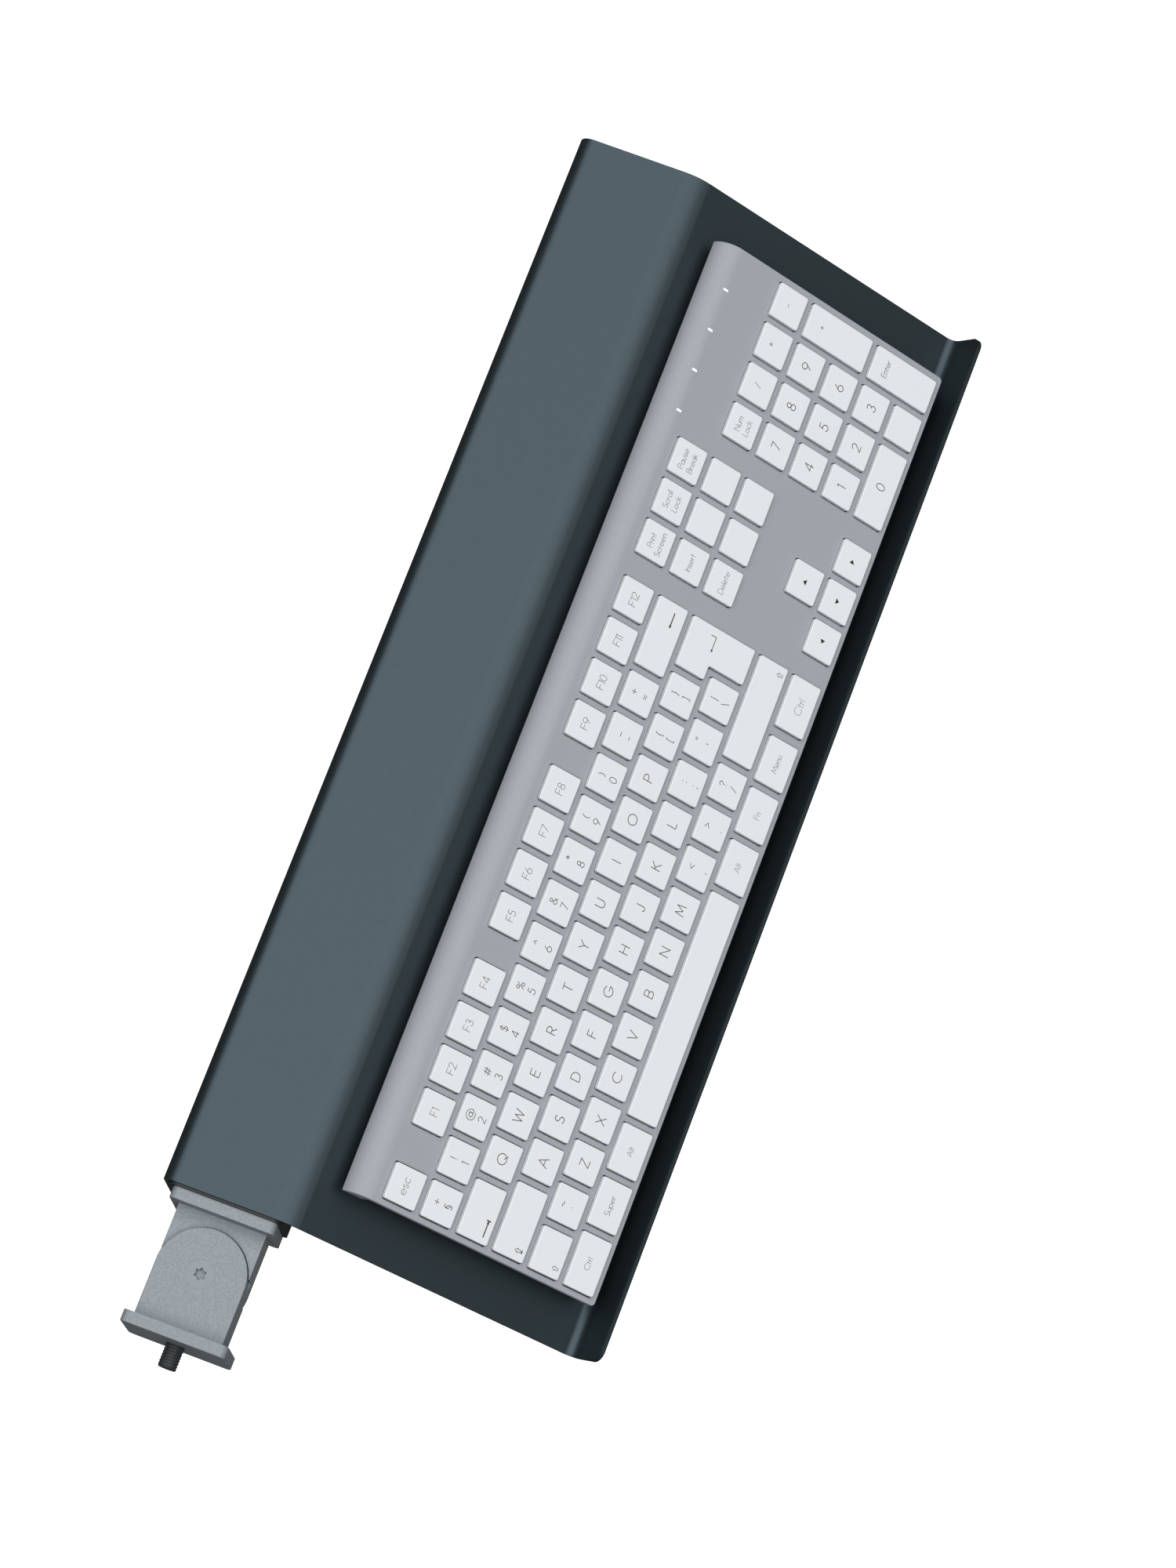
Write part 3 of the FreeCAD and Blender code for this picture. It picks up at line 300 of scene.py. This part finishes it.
# ---------------------------------------------------------------- lettering strokes
def arc(x, y, rx, ry, start, end):
    """Points along an elliptical arc, degrees anticlockwise from the right."""
    steps = max(3, int(abs(end - start) / 18))
    angles = [math.radians(start + (end - start) * i / steps) for i in range(steps + 1)]
    return [(x + rx * math.cos(a), y + ry * math.sin(a)) for a in angles]


def ring(x, y, rx, ry):
    return arc(x, y, rx, ry, 0, 360)


# Each sign: its width, then its strokes, with capitals one unit high.
SIGNS = {
    "A": (0.84, [[(0, 0), (0.42, 1), (0.84, 0)], [(0.15, 0.35), (0.69, 0.35)]]),
    "B": (0.6, [[(0, 0), (0, 1), (0.32, 1)] + arc(0.32, 0.76, 0.23, 0.24, 90, -90) + [(0, 0.52)],
                [(0.32, 0.52)] + arc(0.34, 0.26, 0.26, 0.26, 90, -90) + [(0, 0)]]),
    "C": (0.84, [arc(0.5, 0.5, 0.5, 0.5, 45, 315)]),
    "D": (0.72, [[(0, 0), (0, 1), (0.25, 1)] + arc(0.25, 0.5, 0.47, 0.5, 90, -90) + [(0, 0)]]),
    "E": (0.52, [[(0.52, 1), (0, 1), (0, 0), (0.52, 0)], [(0, 0.52), (0.48, 0.52)]]),
    "F": (0.5, [[(0.5, 1), (0, 1), (0, 0)], [(0, 0.52), (0.45, 0.52)]]),
    "G": (0.95, [arc(0.5, 0.5, 0.5, 0.5, 45, 355) + [(0.55, 0.46)]]),
    "H": (0.68, [[(0, 0), (0, 1)], [(0.68, 0), (0.68, 1)], [(0, 0.52), (0.68, 0.52)]]),
    "I": (0.0, [[(0, 0), (0, 1)]]),
    "J": (0.42, [[(0.42, 1), (0.42, 0.24)] + arc(0.21, 0.22, 0.21, 0.22, 0, -165)]),
    "K": (0.62, [[(0, 0), (0, 1)], [(0.58, 1), (0, 0.45)], [(0.16, 0.58), (0.62, 0)]]),
    "L": (0.45, [[(0, 1), (0, 0), (0.45, 0)]]),
    "M": (0.92, [[(0, 0), (0.12, 1), (0.46, 0.2), (0.8, 1), (0.92, 0)]]),
    "N": (0.72, [[(0, 0), (0, 1), (0.72, 0), (0.72, 1)]]),
    "O": (1.0, [ring(0.5, 0.5, 0.5, 0.5)]),
    "P": (0.55, [[(0, 0), (0, 1), (0.27, 1)] + arc(0.27, 0.73, 0.28, 0.27, 90, -90) + [(0, 0.46)]]),
    "Q": (1.0, [ring(0.5, 0.5, 0.5, 0.5), [(0.58, 0.3), (0.92, -0.02)]]),
    "R": (0.58, [[(0, 0), (0, 1), (0.27, 1)] + arc(0.27, 0.73, 0.28, 0.27, 90, -90) + [(0, 0.46)],
                 [(0.25, 0.46), (0.58, 0)]]),
    "S": (0.54, [arc(0.27, 0.75, 0.23, 0.25, 30, 270) + arc(0.27, 0.25, 0.27, 0.25, 90, -150)]),
    "T": (0.62, [[(0, 1), (0.62, 1)], [(0.31, 1), (0.31, 0)]]),
    "U": (0.66, [[(0, 1), (0, 0.33)] + arc(0.33, 0.33, 0.33, 0.33, 180, 360) + [(0.66, 1)]]),
    "V": (0.78, [[(0, 1), (0.39, 0), (0.78, 1)]]),
    "W": (1.12, [[(0, 1), (0.28, 0), (0.56, 0.9), (0.84, 0), (1.12, 1)]]),
    "X": (0.7, [[(0, 1), (0.7, 0)], [(0, 0), (0.7, 1)]]),
    "Y": (0.7, [[(0, 1), (0.35, 0.48), (0.7, 1)], [(0.35, 0.48), (0.35, 0)]]),
    "Z": (0.62, [[(0, 1), (0.62, 1), (0, 0), (0.62, 0)]]),
    "a": (0.6, [ring(0.3, 0.3, 0.3, 0.3), [(0.6, 0.62), (0.6, 0)]]),
    "c": (0.5, [arc(0.3, 0.3, 0.3, 0.3, 50, 310)]),
    "e": (0.6, [[(0.0, 0.3), (0.6, 0.3)] + arc(0.3, 0.3, 0.3, 0.3, 0, 310)]),
    "i": (0.0, [[(0, 0), (0, 0.62)], [(0, 0.86), (0, 0.94)]]),
    "k": (0.45, [[(0, 0), (0, 1)], [(0.4, 0.62), (0, 0.28)], [(0.12, 0.38), (0.45, 0)]]),
    "l": (0.0, [[(0, 0), (0, 1)]]),
    "m": (0.8, [[(0, 0), (0, 0.62)], arc(0.2, 0.42, 0.2, 0.2, 180, 0) + [(0.4, 0)],
                arc(0.6, 0.42, 0.2, 0.2, 180, 0) + [(0.8, 0)]]),
    "n": (0.44, [[(0, 0), (0, 0.62)], arc(0.22, 0.4, 0.22, 0.22, 180, 0) + [(0.44, 0)]]),
    "o": (0.6, [ring(0.3, 0.3, 0.3, 0.3)]),
    "p": (0.6, [ring(0.3, 0.3, 0.3, 0.3), [(0, 0.62), (0, -0.3)]]),
    "r": (0.25, [[(0, 0), (0, 0.62)], arc(0.25, 0.37, 0.25, 0.23, 180, 90)]),
    "s": (0.36, [arc(0.18, 0.46, 0.16, 0.16, 30, 270) + arc(0.18, 0.15, 0.18, 0.15, 90, -150)]),
    "t": (0.3, [[(0.12, 0.9), (0.12, 0)], [(0, 0.62), (0.3, 0.62)]]),
    "u": (0.44, [[(0, 0.62), (0, 0.22)] + arc(0.22, 0.22, 0.22, 0.22, 180, 360) + [(0.44, 0.62)]]),
    "0": (0.6, [ring(0.3, 0.5, 0.3, 0.5)]),
    "1": (0.16, [[(0, 0.86), (0.16, 1), (0.16, 0)]]),
    "2": (0.54, [arc(0.27, 0.73, 0.26, 0.27, 165, -30) + [(0, 0), (0.54, 0)]]),
    "3": (0.54, [arc(0.27, 0.76, 0.22, 0.24, 150, -90) + arc(0.27, 0.26, 0.27, 0.26, 90, -150)]),
    "4": (0.62, [[(0.46, 0), (0.46, 1), (0, 0.26), (0.62, 0.26)]]),
    "5": (0.54, [[(0.48, 1), (0.14, 1), (0.07, 0.55)] + arc(0.25, 0.31, 0.29, 0.31, 125, -150)]),
    "6": (0.6, [ring(0.3, 0.3, 0.3, 0.3), [(0.04, 0.43), (0.4, 1)]]),
    "7": (0.54, [[(0, 1), (0.54, 1), (0.14, 0)]]),
    "8": (0.56, [ring(0.28, 0.76, 0.22, 0.24), ring(0.28, 0.26, 0.28, 0.26)]),
    "9": (0.6, [ring(0.3, 0.7, 0.3, 0.3), [(0.56, 0.57), (0.2, 0)]]),
    "!": (0.0, [[(0, 1), (0, 0.3)], [(0, 0.06), (0, 0)]]),
    "@": (1.2, [ring(0.6, 0.5, 0.24, 0.26), [(0.84, 0.76), (0.84, 0.38)]
                + arc(1.02, 0.4, 0.18, 0.16, 190, 350) + arc(0.6, 0.5, 0.6, 0.6, 0, 310)]),
    "#": (0.84, [[(0.2, 0), (0.34, 1)], [(0.52, 0), (0.66, 1)], [(0.02, 0.33), (0.78, 0.33)],
                 [(0.08, 0.68), (0.84, 0.68)]]),
    "$": (0.54, [arc(0.27, 0.73, 0.23, 0.22, 30, 270) + arc(0.27, 0.27, 0.27, 0.24, 90, -150),
                 [(0.27, 1.1), (0.27, -0.1)]]),
    "%": (0.8, [ring(0.17, 0.78, 0.17, 0.2), ring(0.63, 0.22, 0.17, 0.2), [(0.66, 1), (0.14, 0)]]),
    "^": (0.44, [[(0, 0.6), (0.22, 0.95), (0.44, 0.6)]]),
    "&": (0.7, [[(0.7, 0), (0.16, 0.72)] + arc(0.3, 0.8, 0.17, 0.19, 200, -40) + [(0.16, 0.46)]
                + arc(0.27, 0.24, 0.25, 0.24, 120, 330) + [(0.66, 0.42)]]),
    "*": (0.4, [[(0.2, 1), (0.2, 0.6)], [(0.03, 0.9), (0.37, 0.7)], [(0.03, 0.7), (0.37, 0.9)]]),
    "(": (0.2, [arc(0.42, 0.5, 0.42, 0.62, 125, 235)]),
    ")": (0.2, [arc(-0.22, 0.5, 0.42, 0.62, 55, -55)]),
    "_": (0.5, [[(0, 0.12), (0.5, 0.12)]]),
    "`": (0.0, [[(0, 0.86), (0, 0.8)]]),
    "-": (0.36, [[(0, 0.5), (0.36, 0.5)]]),
    "+": (0.6, [[(0, 0.5), (0.6, 0.5)], [(0.3, 0.8), (0.3, 0.2)]]),
    "=": (0.5, [[(0, 0.62), (0.5, 0.62)], [(0, 0.38), (0.5, 0.38)]]),
    "{": (0.22, [[(0.22, 1.05), (0.1, 1), (0.1, 0.6), (0, 0.5), (0.1, 0.4), (0.1, 0), (0.22, -0.05)]]),
    "}": (0.22, [[(0, 1.05), (0.12, 1), (0.12, 0.6), (0.22, 0.5), (0.12, 0.4), (0.12, 0), (0, -0.05)]]),
    "[": (0.2, [[(0.2, 1.05), (0, 1.05), (0, -0.05), (0.2, -0.05)]]),
    "]": (0.2, [[(0, 1.05), (0.2, 1.05), (0.2, -0.05), (0, -0.05)]]),
    ":": (0.0, [[(0, 0.62), (0, 0.56)], [(0, 0.06), (0, 0)]]),
    ";": (0.06, [[(0.06, 0.62), (0.06, 0.56)], [(0.06, 0.06), (0, -0.14)]]),
    "\"": (0.2, [[(0, 1), (0, 0.72)], [(0.2, 1), (0.2, 0.72)]]),
    "'": (0.0, [[(0, 1), (0, 0.72)]]),
    "|": (0.0, [[(0, 1.1), (0, -0.1)]]),
    "\\": (0.36, [[(0, 1), (0.36, 0)]]),
    "/": (0.36, [[(0, 0), (0.36, 1)]]),
    "~": (0.56, [arc(0.14, 0.5, 0.14, 0.1, 180, 20) + arc(0.42, 0.52, 0.14, 0.1, 200, 360)]),
    ".": (0.0, [[(0, 0.06), (0, 0)]]),
    ",": (0.06, [[(0.06, 0.06), (0, -0.14)]]),
    "<": (0.5, [[(0.5, 0.8), (0, 0.5), (0.5, 0.2)]]),
    ">": (0.5, [[(0, 0.8), (0.5, 0.5), (0, 0.2)]]),
    "?": (0.46, [arc(0.23, 0.77, 0.23, 0.23, 170, -60) + [(0.23, 0.48), (0.23, 0.3)],
                 [(0.23, 0.06), (0.23, 0)]]),
    "§": (0.44, [arc(0.22, 0.86, 0.18, 0.16, 20, 250) + arc(0.22, 0.42, 0.2, 0.2, 80, -60),
                 arc(0.22, 0.58, 0.2, 0.2, 100, 250) + arc(0.22, 0.14, 0.18, 0.16, 70, -160)]),
}
LETTER_SPACE = 0.16
LINE_SPACE = 1.75


def word_strokes(word, tall):
    """Strokes of one word, its capitals `tall` high, centred on x = 0 and on the capitals' middle."""
    widths = [SIGNS[sign][0] for sign in word]
    total = sum(widths) + LETTER_SPACE * (len(word) - 1)
    strokes = []
    x = -total / 2
    for sign, width in zip(word, widths):
        strokes += [[((x + px) * tall, (py - 0.5) * tall) for px, py in stroke]
                    for stroke in SIGNS[sign][1]]
        x += width + LETTER_SPACE
    return strokes


# ---------------------------------------------------------------- key legends
PITCH = 19.05
GAP = 3.5
UNIT = PITCH - GAP
MAIN_LEFT = 1.95
MAIN_RIGHT = 280.7
TAB_WIDE = 23.9
CAPS_WIDE = 30.4
SHIFT_WIDE = 18.7
MODIFIER_WIDE = 20.7
NAVIGATION_LEFT = 291.7
NUMPAD_LEFT = 356.3
FUNCTION_LEFTS = (34.3, 121.15, 208.0)
SPACE_WIDE = 101.8
SPACE_END = MAIN_LEFT + TAB_WIDE + 2 * MODIFIER_WIDE + SPACE_WIDE + 4 * GAP
KEY_TILT = math.radians(35.82)
KEYBOARD_PLACE = (Matrix.Translation((80.86 * MM, -64.98 * MM, 16.24 * MM))
                  @ Matrix.Rotation(KEY_TILT, 4, "X"))
INK_LIFT = 0.015
BIG_TALL = 4.6
SMALL_TALL = 3.7
WORD_TALL = 2.75
BIG_PEN = 0.38
SMALL_PEN = 0.32
WORD_PEN = 0.24
ARROW_PEN = 0.55
PEN_SIDES = 8
BIG_LIFT = 0.3           # lifts are measured from the middle of a key's row
UPPER_LIFT = 2.9
LOWER_LIFT = -3.0
WORD_LIFT = 0.2
ESC_LIFT = 0.9
ESC_TALL = 3.9
RIGHT_CTRL_LIFT = -0.4
ARROW_KEY_LIFT = 0.5
NUMPAD_SIGN_LIFT = 0.6
ZERO_LIFT = 0.5
PLUS_TALL = 2.4
LEFT_MARGIN = 4.2        # margins and rises are measured from the edges of the main block's keys
RIGHT_MARGIN = 4.1
CAPS_RISE = 4.2
SHIFT_RISE = 3.3
BACKSPACE_RISE = 5.9
BACKSPACE_LONG = 6.5
TAB_MARGIN = 2.9
TAB_RISE = 3.3
TAB_LONG = 6.6
TAB_TIP = 6.5
TAB_BAR = 6.95
TAB_BAR_HALF = 0.9
ENTER_MARGIN = 3.9
ENTER_RISE = 1.6
ENTER_LONG = 6.6
ENTER_STEM = 2.7
ENTER_PEN = 0.34
HEAD_LONG = 0.8
TAB_HEAD_LONG = 0.7
HEAD_HALF = 0.55
SHIFT_OUTLINE = [(-1.0, 0.3), (0.0, 1.6), (1.0, 0.3), (0.5, 0.3), (0.5, -1.5), (-0.5, -1.5),
                 (-0.5, 0.3), (-1.0, 0.3)]
CAPS_BLOCK = [(-0.45, -2.0), (0.45, -2.0)]
TRIANGLE = [(0.95, 0.0), (-0.85, 1.35), (-0.85, -1.35)]      # points right


class Legends:
    """The printed marks of one key node, collected as flat strokes in the keyboard's own frame."""

    def __init__(self, node, ink="ink"):
        self.node = node
        self.mesh = bmesh.new()
        self.ink = list(INKS).index(ink)

    def face(self, points):
        """One flat face through the given x, y points, just above the key tops."""
        corners = [self.mesh.verts.new((x * MM, y * MM, INK_LIFT * MM)) for x, y in points]
        self.mesh.faces.new(corners).material_index = self.ink

    def pen(self, strokes, x, y, wide):
        """Draw strokes, moved to x, y, with a round pen."""
        for stroke in strokes:
            points = [Vector((px + x, py + y)) for px, py in stroke]
            for first, second in zip(points, points[1:]):
                if (second - first).length > 1e-6:
                    side = (second - first).normalized().orthogonal() * wide / 2
                    self.face([first - side, second - side, second + side, first + side])
            for point in points:
                self.face([(point.x + math.cos(a) * wide / 2, point.y + math.sin(a) * wide / 2)
                           for a in [math.tau * k / PEN_SIDES for k in range(PEN_SIDES)]])

    def words(self, lines, x, y, tall, wide):
        """Lines of text centred on x, y, with capitals `tall` high and a pen `wide` across."""
        top = y + (len(lines) - 1) * tall * LINE_SPACE / 2
        for i, line in enumerate(lines):
            self.pen(word_strokes(line, tall), x, top - i * tall * LINE_SPACE, wide)

    def finish(self, materials):
        """Turn the marks into one piece that rides on the key node's body."""
        data = bpy.data.meshes.new(self.node + "_legends")
        self.mesh.to_mesh(data)
        self.mesh.free()
        for name in INKS:
            data.materials.append(materials[name])
        piece = add_object(self.node + "_legends", data)
        piece.matrix_world = KEYBOARD_PLACE
        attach(piece, self.node)


def row_y(row):
    return -row * PITCH


def row_foot(row):
    """The edge of a row's keys that is nearest to the user."""
    return row_y(row) - UNIT / 2


def key_x(left, column):
    """The middle of a key of normal width, in a block that starts at x = left."""
    return left + column * PITCH + UNIT / 2


def letters(node, left, row, text):
    """One big sign in the middle of each key of a row."""
    marks = Legends(node)
    for i, sign in enumerate(text):
        marks.words([sign], key_x(left, i), row_y(row) + BIG_LIFT, BIG_TALL, BIG_PEN)
    return marks


def pairs(marks, left, row, text):
    """A sign over another on each key: text lists the pairs, upper first, with gaps between."""
    for i, (upper, lower) in enumerate(text.split(" ")):
        marks.words([upper], key_x(left, i), row_y(row) + UPPER_LIFT, SMALL_TALL, SMALL_PEN)
        marks.words([lower], key_x(left, i), row_y(row) + LOWER_LIFT, SMALL_TALL, SMALL_PEN)
    return marks


def labels(node, left, row, widths, texts):
    """Words in the middle of each key; a slash in a text starts a new line."""
    marks = Legends(node, "pale_ink")
    for width, text in zip(widths, texts):
        marks.words(text.split("/"), left + width / 2, row_y(row) + WORD_LIFT, WORD_TALL, WORD_PEN)
        left += width + GAP
    return marks


def arrow_head(tip, back):
    """A closed triangle with its point at x = tip and its back edge at x = tip + back."""
    return [(tip + back, HEAD_HALF), (tip, 0), (tip + back, -HEAD_HALF), (tip + back, HEAD_HALF)]


def shift_arrow(marks, x, y):
    marks.pen([SHIFT_OUTLINE], x, y, WORD_PEN)
    return marks


def function_legends(index):
    """The names on the index'th block of four function keys."""
    marks = Legends("f%d_to_f%d_keys" % (4 * index + 1, 4 * index + 4))
    for i in range(4):
        name = "F%d" % (4 * index + i + 1)
        marks.words([name], key_x(FUNCTION_LEFTS[index], i), WORD_LIFT, SMALL_TALL, WORD_PEN)
    return marks


def esc_legend():
    marks = Legends("esc_key")
    marks.words(["esc"], key_x(MAIN_LEFT, 0), ESC_LIFT, ESC_TALL, WORD_PEN)
    return marks


def backspace_legend():
    marks = Legends("backspace_key", "dark_ink")
    place = (MAIN_RIGHT - RIGHT_MARGIN, row_foot(1) + BACKSPACE_RISE)
    marks.pen([[(-BACKSPACE_LONG, 0), (0, 0)]], *place, ARROW_PEN)
    marks.pen([arrow_head(-BACKSPACE_LONG, HEAD_LONG)], *place, WORD_PEN)
    return marks


def tab_legend():
    """An arrow to the right, up against a bar."""
    marks = Legends("tab_key", "dark_ink")
    place = (MAIN_LEFT + TAB_MARGIN, row_foot(2) + TAB_RISE)
    bar = [(TAB_BAR, TAB_BAR_HALF), (TAB_BAR, -TAB_BAR_HALF)]
    marks.pen([[(0, 0), (TAB_LONG, 0)], bar], *place, ARROW_PEN)
    marks.pen([arrow_head(TAB_TIP, -TAB_HEAD_LONG)], *place, WORD_PEN)
    return marks


def caps_lock_legend():
    """The shift arrow on a block."""
    place = (MAIN_LEFT + LEFT_MARGIN, row_foot(3) + CAPS_RISE)
    marks = shift_arrow(Legends("caps_lock_key", "dark_ink"), *place)
    marks.pen([CAPS_BLOCK], *place, ARROW_PEN)
    return marks


def enter_legend():
    """An arrow that comes down and turns left."""
    marks = Legends("enter_key", "dark_ink")
    place = (MAIN_RIGHT - ENTER_MARGIN, row_foot(2) + ENTER_RISE)
    marks.pen([[(-ENTER_LONG, 0), (0, 0), (0, ENTER_STEM)]], *place, ENTER_PEN)
    marks.pen([arrow_head(-ENTER_LONG, HEAD_LONG)], *place, WORD_PEN)
    return marks


def lower_letter_legends(left):
    """Signs on the first key of the row and on its last three, letters between."""
    marks = pairs(Legends("lower_letter_keys"), left, 4, "~`")
    for i, sign in enumerate("ZXCVBNM"):
        marks.words([sign], key_x(left, i + 1), row_y(4) + BIG_LIFT, BIG_TALL, BIG_PEN)
    return pairs(marks, left + 8 * PITCH, 4, "<, >. ?/")


def right_modifier_legends():
    marks = labels("right_modifier_keys", SPACE_END, 5, [MODIFIER_WIDE] * 3, ["Alt", "Fn", "Menu"])
    marks.words(["Ctrl"], MAIN_RIGHT - TAB_WIDE / 2, row_y(5) + RIGHT_CTRL_LIFT, SMALL_TALL, WORD_PEN)
    return marks


def navigation_legends():
    marks = labels("navigation_keys", NAVIGATION_LEFT, 1, [UNIT], ["Insert"])
    marks.words(["Delete"], key_x(NAVIGATION_LEFT, 0), row_y(2) + WORD_LIFT, WORD_TALL, WORD_PEN)
    return marks


def arrow_legends():
    """A filled triangle on each arrow key."""
    marks = Legends("arrow_keys", "dark_ink")
    for column, row, turn in ((1, 4, 90), (0, 5, 180), (1, 5, 270), (2, 5, 0)):
        middle = key_x(NAVIGATION_LEFT, column)
        level = row_y(row) + ARROW_KEY_LIFT
        c, s = math.cos(math.radians(turn)), math.sin(math.radians(turn))
        marks.face([(middle + c * x - s * y, level + s * x + c * y) for x, y in TRIANGLE])
    return marks


def numpad_legends():
    """The number pad's five lettered nodes; the point key is blank."""
    top = labels("numpad_top_keys", NUMPAD_LEFT, 1, [UNIT], ["Num/Lock"])
    for i, sign in enumerate("/*-"):
        top.words([sign], key_x(NUMPAD_LEFT, i + 1), row_y(1) + NUMPAD_SIGN_LIFT, SMALL_TALL, SMALL_PEN)
    digits = Legends("numpad_digit_keys")
    for i, sign in enumerate("789456123"):
        digits.words([sign], key_x(NUMPAD_LEFT, i % 3), row_y(2 + i // 3) + BIG_LIFT, BIG_TALL, BIG_PEN)
    plus = Legends("numpad_plus_key")
    plus.words(["+"], key_x(NUMPAD_LEFT, 3), row_y(2), PLUS_TALL, SMALL_PEN)
    enter = Legends("numpad_enter_key")
    enter.words(["Enter"], key_x(NUMPAD_LEFT, 3), row_y(4) + WORD_LIFT, WORD_TALL, WORD_PEN)
    zero = Legends("numpad_zero_key")
    zero.words(["0"], NUMPAD_LEFT + PITCH - GAP / 2, row_y(5) + ZERO_LIFT, BIG_TALL, BIG_PEN)
    return [top, digits, plus, enter, zero]


def make_legends(materials):
    """Generic letters, figures and signs on the keys, each set riding with its own key node."""
    after_tab = MAIN_LEFT + TAB_WIDE + GAP
    after_caps = MAIN_LEFT + CAPS_WIDE + GAP
    after_shift = MAIN_LEFT + SHIFT_WIDE + GAP
    shift_level = row_foot(4) + SHIFT_RISE
    all_marks = [
        *[function_legends(i) for i in range(3)],
        esc_legend(),
        labels("print_keys", NAVIGATION_LEFT, 0, [UNIT] * 3,
               ["Print/Screen", "Scroll/Lock", "Pause/Break"]),
        pairs(Legends("number_row_keys"), MAIN_LEFT, 1, "+§ !1 @2 #3 $4 %5 ^6 &7 *8 (9 )0 _- +="),
        backspace_legend(),
        tab_legend(),
        pairs(letters("upper_letter_keys", after_tab, 2, "QWERTYUIOP"),
              after_tab + 10 * PITCH, 2, "{[ }]"),
        caps_lock_legend(),
        pairs(letters("home_letter_keys", after_caps, 3, "ASDFGHJKL"),
              after_caps + 9 * PITCH, 3, ":; \"' |\\"),
        enter_legend(),
        shift_arrow(Legends("left_shift_key"), MAIN_LEFT + LEFT_MARGIN, shift_level),
        shift_arrow(Legends("right_shift_key"), MAIN_RIGHT - RIGHT_MARGIN, shift_level),
        lower_letter_legends(after_shift),
        labels("left_modifier_keys", MAIN_LEFT, 5, [TAB_WIDE, MODIFIER_WIDE, MODIFIER_WIDE],
               ["Ctrl", "Super", "Alt"]),
        right_modifier_legends(),
        navigation_legends(),
        arrow_legends(),
        *numpad_legends(),
    ]
    for marks in all_marks:
        marks.finish(materials)


# ---------------------------------------------------------------- threaded stud
STUD_OUTER = 4.0
STUD_CORE = 3.68
THREAD_PITCH = 1.25
THREAD_SIDES = 48
ROWS_IN_A_TURN = 12
CREST_WIDENING = 1.25    # makes the crests flat, as on a rolled thread
STUD_REACH = 10.0
STUD_DEPTH = 8.6
STUD_TIP = 0.5
RUN_IN = 0.4             # the thread ends this far into the recess of the casting
RECESS_DEPTH = 0.5


def stud_ring(mesh, x, radius_at):
    """A ring of vertices about the X axis; radius_at gives the radius at a part of a turn."""
    corners = []
    for k in range(THREAD_SIDES):
        turn = k / THREAD_SIDES
        radius = radius_at(turn)
        angle = math.tau * turn
        corners.append(mesh.verts.new((x * MM, radius * MM * math.cos(angle),
                                       radius * MM * math.sin(angle))))
    return corners


def thread_radius(x, turn):
    """Radius of the helical thread at x, tapered at the stud's tip."""
    wave = abs(((x / THREAD_PITCH - turn) % 1.0) - 0.5) * 2
    radius = STUD_CORE + (STUD_OUTER - STUD_CORE) * min(1.0, wave * CREST_WIDENING)
    return min(radius, STUD_OUTER - STUD_TIP + (x + STUD_REACH))


def make_mount_stud(steel):
    """The mounting stud with a real helical thread, from its tip at -X to its end in the casting."""
    step = THREAD_PITCH / ROWS_IN_A_TURN
    rows = int((STUD_REACH + RUN_IN) / step)
    mesh = bmesh.new()
    rings = []
    for i in range(rows + 1):
        x = -STUD_REACH + i * step
        rings.append(stud_ring(mesh, x, lambda turn: thread_radius(x, turn)))
    for x in (RECESS_DEPTH, STUD_DEPTH):
        rings.append(stud_ring(mesh, x, lambda turn: STUD_CORE))
    for first, second in zip(rings, rings[1:]):
        for k in range(THREAD_SIDES):
            after = (k + 1) % THREAD_SIDES
            mesh.faces.new((first[k], first[after], second[after], second[k]))
    mesh.faces.new(rings[0])
    mesh.faces.new(rings[-1])
    bmesh.ops.recalc_face_normals(mesh, faces=mesh.faces)
    data = bpy.data.meshes.new("threaded_stud")
    mesh.to_mesh(data)
    mesh.free()
    data.materials.append(steel)
    piece = add_object("threaded_stud", data)
    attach(piece, "base")
    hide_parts("mount_stud")


make_camera()
make_light()
make_fill()
make_floor()
make_backdrop()
materials = make_materials()
dress_nodes(materials)
make_legends(materials)
make_mount_stud(materials["black_steel"])
